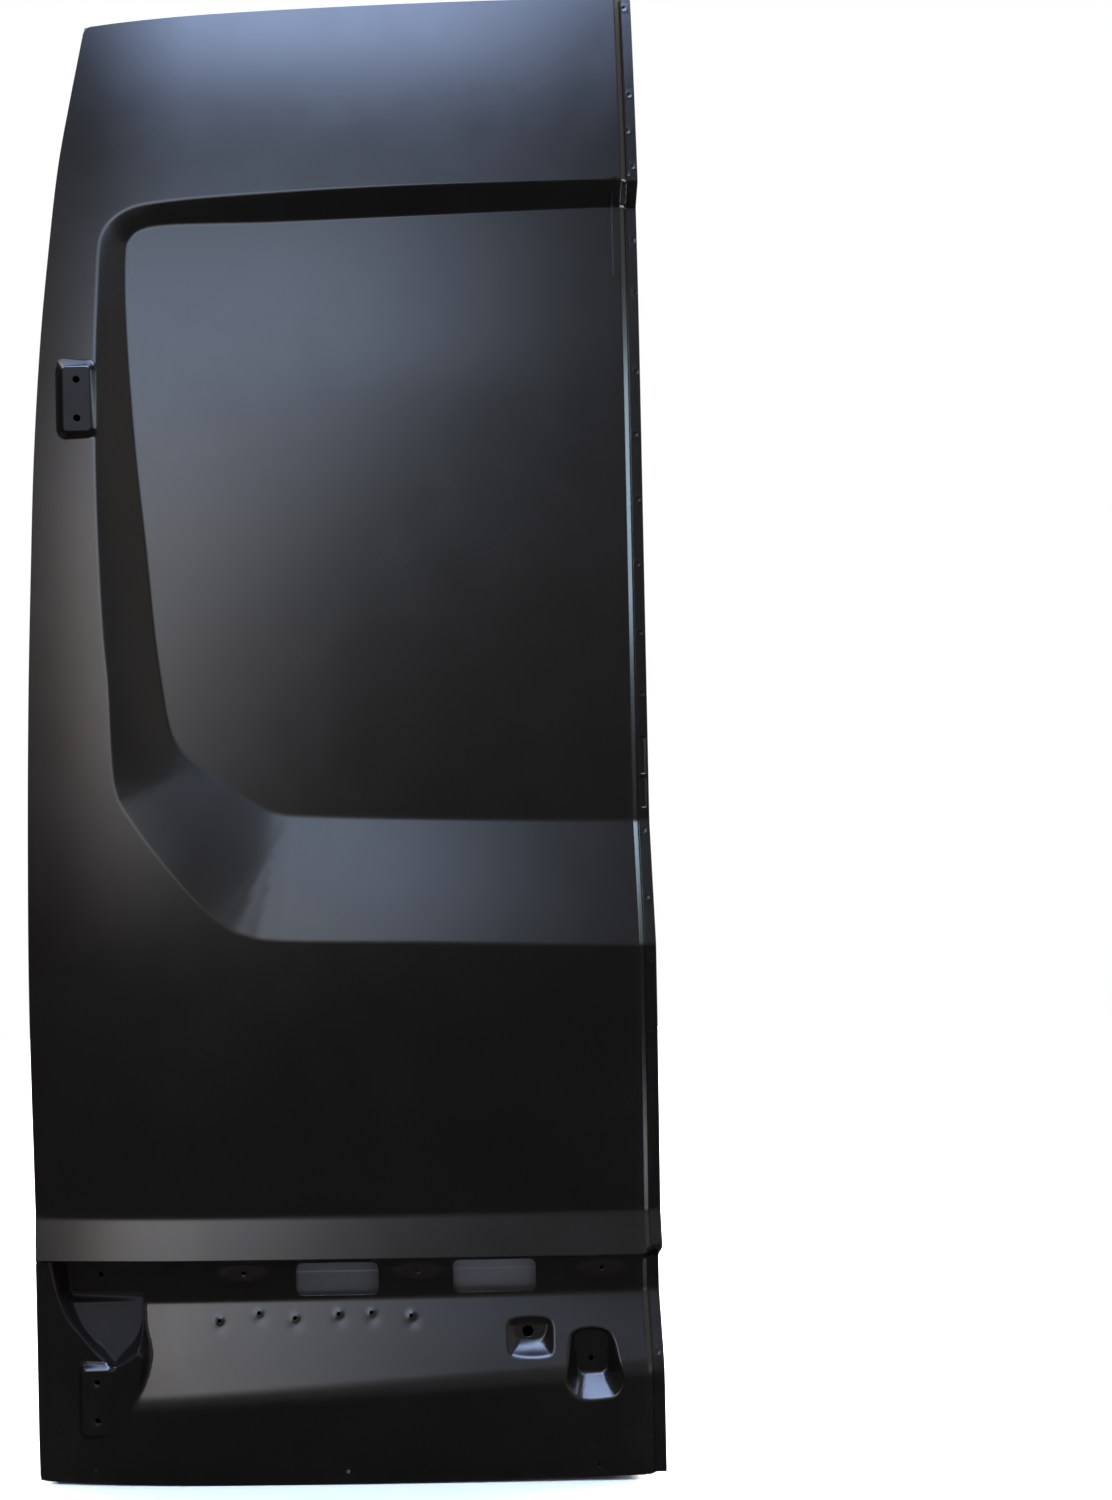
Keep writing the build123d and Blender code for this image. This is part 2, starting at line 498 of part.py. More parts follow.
# ------------------------------------------------------------------ behind the lamp shelf
back = plate(235, 600, 42, 43.5, 112, 174) + plate(235, 600, 42, 90, 172.5, 174)
back += Solid.extrude(Face(ring([(235, 42, 112), (235, 43.5, 112), (235, 50.5, 82), (235, 49, 82)])), Vector(365, 0, 0))
back = back - web
save("plate_lamp_backing", back)
nuts = []
for x, z in SHELF_HOLES[1:]:
    n = (shift(lower, SKIN_T) & (Pos(x, 40, z) * (Rot(90, 0, 0) * Cylinder(7.0, 120)))) - shift(lower, SKIN_T + 6.0)
    nuts += (n - drill(x, z, SHELF_HOLE_D)).solids()
save("shelf_weld_nuts", Compound(children=nuts))
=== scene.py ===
import bpy
import math
import numpy as np
from mathutils import Vector, Matrix
from mathutils.geometry import delaunay_2d_cdt


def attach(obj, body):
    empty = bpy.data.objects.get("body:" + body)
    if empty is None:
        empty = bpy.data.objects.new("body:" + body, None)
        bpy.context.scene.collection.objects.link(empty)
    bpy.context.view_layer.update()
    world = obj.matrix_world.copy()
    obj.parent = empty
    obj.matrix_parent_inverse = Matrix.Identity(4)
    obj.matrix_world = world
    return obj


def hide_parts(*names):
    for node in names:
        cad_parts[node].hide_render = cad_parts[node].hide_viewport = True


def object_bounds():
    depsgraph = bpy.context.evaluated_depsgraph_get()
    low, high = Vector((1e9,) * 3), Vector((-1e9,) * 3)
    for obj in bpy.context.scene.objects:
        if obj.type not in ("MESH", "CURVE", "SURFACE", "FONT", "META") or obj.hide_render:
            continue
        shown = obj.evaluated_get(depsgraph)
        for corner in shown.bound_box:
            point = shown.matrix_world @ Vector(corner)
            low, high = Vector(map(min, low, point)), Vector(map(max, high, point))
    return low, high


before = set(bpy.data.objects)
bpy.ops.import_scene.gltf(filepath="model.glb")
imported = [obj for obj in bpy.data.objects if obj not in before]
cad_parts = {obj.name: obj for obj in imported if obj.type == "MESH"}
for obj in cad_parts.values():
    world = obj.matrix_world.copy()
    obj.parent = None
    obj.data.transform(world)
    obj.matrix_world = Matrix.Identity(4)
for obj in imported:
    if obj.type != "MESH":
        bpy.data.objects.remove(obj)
CAD_BOX = [[float(c) for c in v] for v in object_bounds()]

# ------------------------------------------------------------------ shape of the outer face (mm)
PITCH = 1301.5
SEAT = (36.0, 84.0, 5.0)
STRIP_TOP, STRIP_LIP = 235.5, 181.0
BLANK_Y = 28.0
X_SEAM = 711.0
RETURN_IN = 12.6
LEFT_EDGE = [(-78.5, -99.0), (-79.0, -60.0), (-79.0, 60.0), (-79.0, 182.0), (-79.4, 290.0), (-80.4, 525.0),
             (-77.5, 730.0), (-72.6, 917.0), (-66.0, 1080.0), (-58.8, 1230.0), (-47.4, 1386.0), (-36.6, 1492.0),
             (-22.0, 1614.0), (-6.5, 1700.0), (6.0, 1765.0), (11.5, 1794.0)]
TOP_EDGE = [(22.0, 1803.5), (60.0, 1806.8), (170.0, 1813.5), (398.0, 1820.0), (560.0, 1822.2), (715.0, 1823.0)]
BOTTOM_EDGE = [(-66.0, -106.2), (110.0, -109.0), (320.0, -109.0), (600.0, -105.0), (715.0, -103.2)]
RECESS = [((1500, 1572.7), (1500, 1545.6)), ((760, 1572.7), (760, 1545.6)), ((428, 1571), (427, 1538)),
          ((253, 1566.6), (252, 1533)), ((125, 1560), (112, 1531)), ((78, 1554), (90, 1527.5)),
          ((56, 1543.5), (77, 1521.5)), ((42, 1531), (70, 1513)), ((34, 1516), (66.5, 1507)),
          ((31, 1502), (65, 1498)), ((28, 1450), (63, 1450)), ((24, 1363), (65, 1362)), ((22, 1241), (71.5, 1241)),
          ((24, 1095), (84, 1095)), ((28, 993), (92, 992)), ((33, 929), (99.5, 929)), ((35, 855), (105, 890)),
          ((36, 830), (107.5, 878)), ((38, 802), (110.5, 866)), ((41, 789), (115, 856)), ((45, 777), (121, 847)),
          ((74, 732), (155.7, 818)), ((103, 694), (181, 799.5)), ((133, 658), (206, 781.5)),
          ((160, 630), (227, 768)), ((175, 618), (236, 763)), ((190, 608), (245, 759)), ((207, 602), (256, 756.3)),
          ((225, 597), (268, 754.5)), ((465, 588), (469, 746)), ((760, 579.5), (760, 738.5)),
          ((1500, 579.5), (1500, 738.5))]
S_CURVE = [(37.0, 300.0), (37.0, 200.0), (37.0, 121.0), (38.5, 110.0), (46.0, 86.0), (53.5, 70.0), (58.0, 58.0),
           (58.5, 45.0), (52.5, 23.0), (41.5, -1.4), (33.2, -26.0), (27.6, -45.5), (22.0, -70.0), (14.0, -120.0)]
SCOOP = [((-62, 420), (-42, 420)), ((-62, 200), (-42, 200)), ((-53, 152), (-39, 132)), ((-37, 107), (-26, 100)),
         ((-19, 84), (-8, 77)), ((-1, 63), (5, 66)), ((9, 54), (13, 57.5)), ((21, 44.5), (23, 49)), ((38, 53), (35, 59)),
         ((56, 67), (50, 73)), ((67, 86), (59, 91)), ((72, 112), (62, 112)), ((72, 200), (62, 200)), ((72, 420), (62, 420))]
POCKET1 = [((538, 92.7), (543, 90)), ((590, 92.2), (586, 89.5)), ((593, 72), (585, 78)), ((590, 52.5), (581, 70)),
           ((580, 49), (574, 67.5)), ((546, 49.5), (553, 68)), ((536.5, 53), (546, 70.5)), ((534.5, 72), (542.5, 78))]
POCKET2 = [((620, 78), (624, 75.5)), ((664, 78), (661, 75.5)), ((676, 42), (663, 42)), ((681, 18), (663.5, 30)),
           ((671, 0), (659, 24.5)), ((655, -4), (650, 23.5)), ((622, -3.5), (634, 23.5)), ((609, 12), (626, 25)),
           ((607.5, 20), (623, 30)), ((611, 42), (622.5, 42))]
LAMPS = [(314.0, 147.5), (519.5, 148.5)]
LAMP = (108.0, 42.0, 8.0)
SHELF_HOLES = [(3.0, 155.5), (191.0, 155.5), (420.0, 155.5), (660.0, 155.5)]
PLATE_HOLES = [(159.0, 96.5), (211.0, 105.0), (258.0, 98.6), (315.0, 103.0), (358.0, 104.0), (410.0, 100.0)]
BOTTOM_HOLES = [(-4.0, -91.0), (323.5, -93.0), (648.0, -89.0)]
POCKET1_HOLE, POCKET2_HOLE = (561.0, 78.0), (642.0, 42.0)
FLANGE_SLOTS = [(824.0, 48.0), (776.0, 40.0)]
WELD_DOTS = [(727.0, 1810.0), (729.0, 1690.0), (725.0, 1641.0), (730.0, 1593.0), (722.5, 1583.0), (722.0, 1557.0),
             (731.0, 1500.0), (733.0, 1431.0), (731.0, 1327.0), (728.0, 1245.0), (729.5, 1160.0), (727.5, 1075.0),
             (729.0, 985.0), (730.0, 905.0), (728.0, 726.0), (727.0, 640.0), (729.0, 560.0), (728.0, 470.0),
             (727.0, 380.0), (729.5, 300.0), (724.0, 140.0), (731.0, 131.0), (728.0, 50.0), (730.0, -40.0)]


def catmull(pts, n=8, closed=False):
    p = [np.array(q, float) for q in pts]
    m = len(p)
    out = []
    for i in range(m if closed else m - 1):
        a, b = p[i], p[(i + 1) % m]
        z = p[(i - 1) % m] if closed or i > 0 else 2 * a - b
        c = p[(i + 2) % m] if closed or i + 2 < m else 2 * b - a
        t0 = 0.0
        t1 = t0 + max(np.linalg.norm(a - z), 1e-6) ** 0.5
        t2 = t1 + max(np.linalg.norm(b - a), 1e-6) ** 0.5
        t3 = t2 + max(np.linalg.norm(c - b), 1e-6) ** 0.5
        for k in range(n):
            t = t1 + (t2 - t1) * k / n
            a1 = (t1 - t) / (t1 - t0) * z + (t - t0) / (t1 - t0) * a
            a2 = (t2 - t) / (t2 - t1) * a + (t - t1) / (t2 - t1) * b
            a3 = (t3 - t) / (t3 - t2) * b + (t - t2) / (t3 - t2) * c
            b1 = (t2 - t) / (t2 - t0) * a1 + (t - t0) / (t2 - t0) * a2
            b2 = (t3 - t) / (t3 - t1) * a2 + (t - t1) / (t3 - t1) * a3
            out.append((t2 - t) / (t2 - t1) * b1 + (t - t1) / (t2 - t1) * b2)
    if not closed:
        out.append(p[-1])
    return np.array(out)


def inside(P, poly):
    got = np.zeros(len(P), bool)
    x, z = P[:, 0], P[:, 1]
    a = poly
    b = np.roll(poly, -1, axis=0)
    for (ax, az), (bx, bz) in zip(a, b):
        if az == bz:
            continue
        hit = ((az > z) != (bz > z)) & (x < (bx - ax) * (z - az) / (bz - az) + ax)
        got ^= hit
    return got


def signed(P, poly):
    best = np.full(len(P), 1e18)
    a = poly
    b = np.roll(poly, -1, axis=0)
    for p, q in zip(a, b):
        d = q - p
        n = float(d @ d)
        if n < 1e-12:
            continue
        t = np.clip(((P - p) @ d) / n, 0.0, 1.0)
        e = P - (p + t[:, None] * d)
        best = np.minimum(best, e[:, 0] ** 2 + e[:, 1] ** 2)
    best = np.sqrt(best)
    return np.where(inside(P, poly), -best, best)


def ramp(t, e0, e1):
    e0 = np.minimum(e0, 0.49)
    e1 = np.minimum(e1, 0.49)
    out = np.clip(t, 0.0, 1.0)
    lo = np.abs(t) < e0
    out = np.where(lo, (t + e0) ** 2 / (4 * e0), out)
    hi = np.abs(t - 1) < e1
    return np.where(hi, 1 - (1 + e1 - t) ** 2 / (4 * e1), out)


def smin(a, b, k):
    h = np.maximum(k - np.abs(a - b), 0.0) / k
    return np.minimum(a, b) - h * h * k / 4


def smax(a, b, k):
    h = np.maximum(k - np.abs(a - b), 0.0) / k
    return np.maximum(a, b) + h * h * k / 4


def plan(x):
    far = -18.0 + (715.0 - x) ** 2 / 28000.0
    d = 150.0 - x
    near = -18.0 + 565.0 ** 2 / 28000.0 + 565.0 / 14000.0 * d + d * d / 2900.0
    return np.where(x >= 150.0, far, near)


def elev(z):
    body = np.where(z < 650.0, (650.0 - z) ** 2 / 14352.0, np.where(z > 1150.0, (z - 1150.0) ** 2 / 6412.0, 0.0))
    top = (650.0 - STRIP_TOP) ** 2 / 14352.0
    strip = top + (-4.0 - top) * (STRIP_TOP - z) / (STRIP_TOP - STRIP_LIP)
    return np.where(z < 420.0, smin(body, strip, 1.6), body)


def face_top(x):
    return 118.0 + x * 7.0 / 715.0


def face_crease(x):
    return -16.0 + (x - 45.0) * 0.0607


REC_OUT = np.vstack([catmull([p[0] for p in RECESS], 6)])
REC_IN = np.vstack([catmull([p[1] for p in RECESS], 6)])
SC_OUT = catmull([p[0] for p in SCOOP], 6)
SC_IN = catmull([p[1] for p in SCOOP], 6)
P1_OUT, P1_IN = catmull([p[0] for p in POCKET1], 5, True), catmull([p[1] for p in POCKET1], 5, True)
P2_OUT, P2_IN = catmull([p[0] for p in POCKET2], 5, True), catmull([p[1] for p in POCKET2], 5, True)
S_LINE = catmull(S_CURVE, 8)[::-1]


def between(P, outer, inner, b_in, b_out, near=None):
    f = np.ones(len(P))
    use = np.ones(len(P), bool) if near is None else (
        (P[:, 0] > near[0]) & (P[:, 0] < near[1]) & (P[:, 1] > near[2]) & (P[:, 1] < near[3]))
    if not use.any():
        return f
    q = P[use]
    din = signed(q, inner)
    dout = -signed(q, outer)
    w = np.maximum(din + dout, 2.0)
    f[use] = ramp(din / w, b_in / w, b_out / w)
    return f


def rounded_sdf(x, z, w, h, r):
    qx = np.abs(x) - (w / 2 - r)
    qz = np.abs(z) - (h / 2 - r)
    return np.hypot(np.maximum(qx, 0), np.maximum(qz, 0)) + np.minimum(np.maximum(qx, qz), 0) - r


def seat(x, z, y, zc):
    s = rounded_sdf(x, z - zc, *SEAT)
    f = ramp(s / 7.5, 1.6 / 7.5, 2.6 / 7.5)
    return y * f


def depth_upper(P):
    x, z = P[:, 0], P[:, 1]
    y = plan(x) + elev(z)
    blank = BLANK_Y + 9.0 * np.clip((z - 1305.0) / 245.0, 0.0, 1.1) ** 2
    f = between(P, REC_OUT, REC_IN, 3.2, 2.7)
    y = blank + (y - blank) * f
    return seat(x, z, y, PITCH)


def bump(x, z, c, r, h):
    return h * np.exp(-((x - c[0]) ** 2 + (z - c[1]) ** 2) / (2 * r * r))


def depth_lower(P):
    x, z = P[:, 0], P[:, 1]
    p = plan(x)
    zt, zc = face_top(x), face_crease(x)
    w = zt - zc - 8.0
    face = p + 2.0 + 43.0 * ramp((z - zc - 8.0) / w, 14.0 / w, 3.2 / w)
    front = p + 2.0
    sx = np.interp(z, S_LINE[:, 1], S_LINE[:, 0])
    xf = sx + 0.6 * (front - 5.0)
    width = np.maximum(0.6 * (face - front), 11.0)
    y = front + (face - front) * ramp((x - xf) / width, 4.0 / width, 4.0 / width)
    f = between(P, SC_OUT, SC_IN, 5.0, 3.6, (-82, 104, 20, 200))
    floor = smin(23.3 + 0.3207 * (z - 60.0), p + 45.0, 2.0)
    floor = floor + (p + 45.0 - floor) * ramp((z - 121.5) / 6.0, 0.25, 0.25)
    y = smax(y, floor + (front - floor) * f, 1.6 * (1 - f) + 1e-3)
    y = seat(x, z, y, 0.0)
    f = between(P, P1_OUT, P1_IN, 2.2, 2.4, (515, 612, 30, 112))
    y = y * f + (float(plan(np.array(563.0))) + 31.0 + 3.5 * np.clip((z - 66.0) / 20.0, 0.0, 1.0)) * (1 - f)
    f = between(P, P2_OUT, P2_IN, 2.4, 3.0, (585, 702, -25, 98))
    y = y * f + (float(plan(np.array(644.0))) + 30.0) * (1 - f)
    for c in SHELF_HOLES[1:]:
        q = np.hypot((x - c[0]) / 37.0, (z - c[1] + 1.0) / 14.5)
        y = y - 2.1 * (1 - ramp((q - 0.72) / 0.32, 0.3, 0.3)) * np.clip((c[1] + 12.5 - z) / 25.0, 0.0, 1.0)
    for k, c in enumerate(PLATE_HOLES):
        y = y - bump(x, z, c, 3.4, (1.5, 0.9, 1.1, 1.3, 0.8, 1.4)[k]) + bump(x, z, (c[0] + 1.0, c[1] - 7.0), 5.5, 0.5)
    for k, c in enumerate(BOTTOM_HOLES):
        y = y + bump(x, z, c, 5.0, 0.9)
    return y


# ------------------------------------------------------------------ meshing helpers
def resample(line, step, closed=False):
    q = np.vstack([line, line[:1]]) if closed else np.asarray(line)
    s = np.concatenate([[0], np.cumsum(np.linalg.norm(np.diff(q, axis=0), axis=1))])
    n = max(int(round(s[-1] / step)), 3)
    t = np.linspace(0, s[-1], n + 1)
    out = np.stack([np.interp(t, s, q[:, 0]), np.interp(t, s, q[:, 1])], 1)
    return out[:-1] if closed else out


def normals2d(line, closed):
    if closed:
        d = np.roll(line, -1, axis=0) - np.roll(line, 1, axis=0)
    else:
        d = np.gradient(line, axis=0)
    d = d / np.maximum(np.linalg.norm(d, axis=1), 1e-9)[:, None]
    return np.stack([d[:, 1], -d[:, 0]], 1)


def rows(line, offsets, step, closed=True):
    q = resample(line, step, closed)
    n = normals2d(q, closed)
    return np.vstack([q + n * o for o in offsets])


def circle(c, r, n):
    a = np.arange(n) * 2 * math.pi / n
    return np.stack([c[0] + r * np.cos(a), c[1] + r * np.sin(a)], 1)


def rrect(c, w, h, r, n=8):
    out = []
    for sx, sz, a0 in ((1, 1, 0), (-1, 1, 90), (-1, -1, 180), (1, -1, 270)):
        for k in range(n + 1):
            a = math.radians(a0 + 90 * k / n)
            out.append((c[0] + sx * (w / 2 - r) + r * math.cos(a), c[1] + sz * (h / 2 - r) + r * math.sin(a)))
    return np.array(out)


def hexgrid(x0, x1, z0, z1, step):
    zs = np.arange(z0, z1, step * 0.87)
    out = []
    for k, z in enumerate(zs):
        xs = np.arange(x0 + (step / 2 if k % 2 else 0), x1, step)
        out.append(np.stack([xs, np.full(len(xs), z)], 1))
    return np.vstack(out)


def thin(P, cell):
    _, first = np.unique(np.floor(P / cell).astype(np.int64), axis=0, return_index=True)
    return P[np.sort(first)]


def away(P, Q, r):
    """Points of P that have no point of Q within about r."""
    cells = {}
    for x, z in np.floor(Q / r).astype(np.int64):
        for i in (-1, 0, 1):
            for j in (-1, 0, 1):
                cells[(x + i, z + j)] = True
    keep = [(x, z) not in cells for x, z in np.floor(P / r).astype(np.int64)]
    return P[np.array(keep, bool)]


class Builder:
    def __init__(self):
        self.co, self.no, self.tri, self.n = [], [], [], 0

    def add(self, co, no, tris):
        self.co.append(np.asarray(co, float))
        self.no.append(np.asarray(no, float))
        self.tri.append(np.asarray(tris, np.int64) + self.n)
        self.n += len(co)

    def grid(self, co, no, flip=False, closed=False):
        """Rows x columns x 3 of places and normals, joined as quads split in two."""
        r, c = co.shape[:2]
        i, j = np.meshgrid(np.arange(r - 1), np.arange(c if closed else c - 1), indexing="ij")
        a, b = (i * c + j).ravel(), (i * c + (j + 1) % c).ravel()
        d, e = ((i + 1) * c + j).ravel(), ((i + 1) * c + (j + 1) % c).ravel()
        t = np.vstack([np.stack([a, b, e], 1), np.stack([a, e, d], 1)])
        if flip:
            t = t[:, ::-1]
        self.add(co.reshape(-1, 3), no.reshape(-1, 3), t)

    def make(self, name):
        co = np.vstack(self.co) / 1000.0
        no = np.vstack(self.no)
        no = no / np.maximum(np.linalg.norm(no, axis=1), 1e-9)[:, None]
        tri = np.vstack(self.tri)
        a, b, c = co[tri[:, 0]], co[tri[:, 1]], co[tri[:, 2]]
        tri = tri[np.linalg.norm(np.cross(b - a, c - a), axis=1) > 1e-13]
        me = bpy.data.meshes.new(name)
        me.vertices.add(len(co))
        me.vertices.foreach_set("co", co.ravel())
        me.loops.add(tri.size)
        me.loops.foreach_set("vertex_index", tri.ravel().astype(np.int32))
        me.polygons.add(len(tri))
        me.polygons.foreach_set("loop_start", np.arange(0, tri.size, 3, dtype=np.int32))
        me.update(calc_edges=True)
        me.validate()
        me.polygons.foreach_set("use_smooth", np.ones(len(me.polygons), bool))
        if len(me.vertices) == len(no):
            me.normals_split_custom_set_from_vertices([tuple(v) for v in no])
        o = bpy.data.objects.new(name, me)
        bpy.context.scene.collection.objects.link(o)
        print(name, len(me.polygons), "triangles")
        return o


def cdt(outline, holes, pts):
    verts, edges = [], []
    for loop in [outline] + holes:
        k = len(verts)
        verts += [Vector((float(x), float(z))) for x, z in loop]
        edges += [(k + i, k + (i + 1) % len(loop)) for i in range(len(loop))]
    verts += [Vector((float(x), float(z))) for x, z in pts]
    v, _, faces, _, _, _ = delaunay_2d_cdt(verts, edges, [], 0, 1e-4)
    v = np.array([(p[0], p[1]) for p in v])
    f = np.array([t for t in faces if len(t) == 3], np.int64)
    mid = v[f].mean(axis=1)
    ok = inside(mid, outline)
    for h in holes:
        ok &= ~inside(mid, h)
    f = f[ok]
    a, b, c = v[f[:, 0]], v[f[:, 1]], v[f[:, 2]]
    area = (b[:, 0] - a[:, 0]) * (c[:, 1] - a[:, 1]) - (b[:, 1] - a[:, 1]) * (c[:, 0] - a[:, 0])
    f[area < 0] = f[area < 0][:, ::-1]
    return v, f


def surface(depth, P):
    e = 0.25
    y = depth(P)
    gx = (depth(P + [e, 0]) - depth(P - [e, 0])) / (2 * e)
    gz = (depth(P + [0, e]) - depth(P - [0, e])) / (2 * e)
    n = np.stack([gx, -np.ones(len(P)), gz], 1)
    return y, n / np.linalg.norm(n, axis=1)[:, None]


def orient(loop, ccw):
    a = np.sum(loop[:, 0] * np.roll(loop[:, 1], -1) - np.roll(loop[:, 0], -1) * loop[:, 1])
    return loop if (a > 0) == ccw else loop[::-1]


def sheet(name, depth, outline, holes, pts, thick, skip=None, edge=0.7):
    """A pressed sheet: front and back faces over the outline with round cut edges."""
    b = Builder()
    outline = orient(outline, True)
    holes = [orient(h, False) for h in holes]
    v, f = cdt(outline, holes, pts)
    y, n = surface(depth, v)
    front = np.stack([v[:, 0], y, v[:, 1]], 1)
    b.add(front, n, f)
    b.add(front + [0, thick, 0], -n, f[:, ::-1])
    for loop in [outline] + holes:
        ly, ln = surface(depth, loop)
        o2 = normals2d(loop, True)
        keep = np.ones(len(loop), bool) if skip is None else ~skip(loop)
        cols = []
        nos = []
        for k in range(6):
            a = math.pi * k / 5
            p = loop + o2 * edge * math.sin(a)
            cols.append(np.stack([p[:, 0], ly + thick / 2 * (1 - math.cos(a)), p[:, 1]], 1))
            nos.append(ln * math.cos(a) + np.stack([o2[:, 0], 0 * ly, o2[:, 1]], 1) * math.sin(a))
        cols, nos = np.array(cols), np.array(nos)
        m = len(loop)
        tris = []
        for i in range(m):
            j = (i + 1) % m
            if not (keep[i] and keep[j]):
                continue
            for k in range(5):
                p, q, r, s = k * m + i, k * m + j, (k + 1) * m + j, (k + 1) * m + i
                tris += [(p, s, r), (p, r, q)]
        if tris:
            b.add(cols.reshape(-1, 3), nos.reshape(-1, 3), tris)
    return b


def bezier(a, c, b, n=8):
    t = np.linspace(0, 1, n + 1)[:, None]
    a, b, c = np.array(a), np.array(b), np.array(c)
    return (1 - t) ** 2 * a + 2 * t * (1 - t) * c + t * t * b


def inset(loop, d):
    return loop - normals2d(loop, True) * d


# ------------------------------------------------------------------ outlines
left = catmull(LEFT_EDGE, 10)
top = catmull(TOP_EDGE, 10)
bottom = catmull(BOTTOM_EDGE, 10)
top_corner = bezier(left[-1], (13.6, 1802.6), top[0])
low_corner = bezier(bottom[0], (-78.2, -106.0), left[0])
top_cut = top[top[:, 0] < X_SEAM]
top_end = np.array([[X_SEAM, np.interp(X_SEAM, top[:, 0], top[:, 1])]])
bot_cut = bottom[bottom[:, 0] < X_SEAM]
bot_end = np.array([[X_SEAM, np.interp(X_SEAM, bottom[:, 0], bottom[:, 1])]])
Z_ROLL = 183.4
left_x = lambda z: np.interp(z, left[:, 1], left[:, 0])


def open_inset(line, d):
    return line - normals2d(line, False) * d


def side_rows(x, z0, z1, step):
    return np.stack([np.full(2, x), [z0, z1]], 1), step


# upper skin outline, counter-clockwise from the lower left
edge_run = np.vstack([left[left[:, 1] > Z_ROLL + 2][:-1], top_corner, top_cut[1:], top_end])
edge_run = resample(edge_run, 5.0)
edge_run = edge_run + normals2d(edge_run, False) * 0.7
edge_run[-1] = [X_SEAM, edge_run[-1][1]]
edge_run[0] = [edge_run[0][0], Z_ROLL]
right_zs = [Z_ROLL]
z = Z_ROLL
while z < edge_run[-1][1] - 1.0:
    fine = abs(z - STRIP_TOP) < 12 or 565 < z < 600 or 725 < z < 752 or 1530 < z < 1590
    z += 1.6 if fine else 5.0
    right_zs.append(z)
RIGHT_UP = np.array([q for q in right_zs if q < edge_run[-1][1] - 1.2])
low_run = resample(np.array([edge_run[0], [X_SEAM, Z_ROLL]]), 5.0)
outline_up = np.vstack([low_run[:-1], np.stack([np.full(len(RIGHT_UP), X_SEAM), RIGHT_UP], 1), edge_run[::-1][:-1]])


def in_upper(P, gap):
    return P[(P[:, 0] < X_SEAM - gap) & (P[:, 1] > Z_ROLL + gap)]


pts = [rows(REC_OUT[REC_OUT[:, 0] < 740], [-8, -5, -3.2, -2.0, -1.0, 0.0, 1.0, 2.0, 3.2, 5, 8], 4.5, False),
       rows(REC_IN[REC_IN[:, 0] < 740], [-6.5, -3.8, -2.4, -1.2, 0, 1.2, 2.4, 3.8, 6.5], 4.5, False)]
seat_line = rrect((0, PITCH), *SEAT)
pts.append(rows(seat_line, [-3.4, -1.7, -0.6, 0.8, 2.4, 4.0, 5.2, 6.4, 7.6, 9.0, 11.0], 2.2))
for dz in (-8, -5.5, -3.5, -1.8, 0, 1.8, 3.5, 5.5, 8):
    xs = np.arange(-76, X_SEAM, 6.0)
    pts.append(np.stack([xs, np.full(len(xs), STRIP_TOP + dz)], 1))
feature = thin(np.vstack(pts), 0.9)
back = hexgrid(-82, X_SEAM, Z_ROLL, 1825, 8.2)
back = away(back, feature, 4.4)
cloud = in_upper(np.vstack([feature, back]), 1.6)
cloud = cloud[inside(cloud, inset(orient(outline_up, True), 1.8))]
bolt_up = [circle((0, PITCH + s * 25.0), 4.5 + 0.7, 36) for s in (1, -1)]
near_bolt = lambda P, hs, g: P[np.all([signed(P, orient(h, True)) > g for h in hs], axis=0)]
cloud = near_bolt(cloud, bolt_up, 1.0)
upper = sheet("upper_skin", depth_upper, outline_up, bolt_up, cloud, 1.3,
              skip=lambda L: (L[:, 0] > X_SEAM - 0.01) | (L[:, 1] < Z_ROLL + 0.01))

# rolled lower lip of the ledge strip and its underside
xs = low_run[:, 0]
P = np.stack([xs, np.full(len(xs), Z_ROLL)], 1)
y0, n0 = surface(depth_upper, P)
tilt = np.arctan2(n0[:, 2], -n0[:, 1])
prof, prof_n = [], []
R = Z_ROLL - STRIP_LIP
for a in np.linspace(0, 1, 8):
    ang = tilt * (1 - a) - (math.pi / 2) * a
    cz = Z_ROLL - R * np.sin(tilt) - (R - R * np.sin(tilt)) * 0
    prof.append(np.stack([xs, y0 + R * np.cos(tilt) - R * np.cos(ang), Z_ROLL - R * np.sin(tilt) + R * np.sin(ang)], 1))
    prof_n.append(np.stack([0 * xs, -np.cos(ang), np.sin(ang)], 1))
zr = prof[-1][:, 2]
for k in np.linspace(0, 1, 6)[1:]:
    yk = prof[7][:, 1] + (plan(xs) + 45.0 - prof[7][:, 1]) * k
    prof.append(np.stack([xs, yk, np.maximum(zr, STRIP_LIP)], 1))
    prof_n.append(np.stack([0 * xs, 0 * xs, -np.ones(len(xs))], 1))
co, no = np.array(prof), np.array(prof_n)
upper.grid(co, no, flip=True)
inner = co - no * 1.2
upper.grid(inner, -no)
# closed left end of the lip
upper.grid(np.array([co[:, 0], inner[:, 0]]), np.tile(np.array([-1.0, 0, 0]), (2, len(co), 1)))
upper_skin = upper.make("upper_skin")

# lower skin
lo_left = left[left[:, 1] < STRIP_LIP - 4]
edge_low = np.vstack([[(left_x(STRIP_LIP), STRIP_LIP)], lo_left[::-1][:-1], low_corner[::-1], bot_cut[1:], bot_end])
edge_low = resample(edge_low, 4.0)
edge_low = edge_low - normals2d(edge_low, False) * 0.7
edge_low[-1] = [X_SEAM, edge_low[-1][1]]
edge_low[0] = [edge_low[0][0], STRIP_LIP]
z = edge_low[-1][1]
right_zs = []
while z < STRIP_LIP - 2.5:
    z += 1.5 if abs(z - face_top(715.0)) < 8 else 4.0
    right_zs.append(z)
RIGHT_LOW = np.array(right_zs)
top_low = resample(np.array([[X_SEAM, STRIP_LIP], [edge_low[0][0], STRIP_LIP]]), 4.0)
outline_low = np.vstack([edge_low, np.stack([np.full(len(RIGHT_LOW), X_SEAM), RIGHT_LOW], 1), top_low[:-1]])
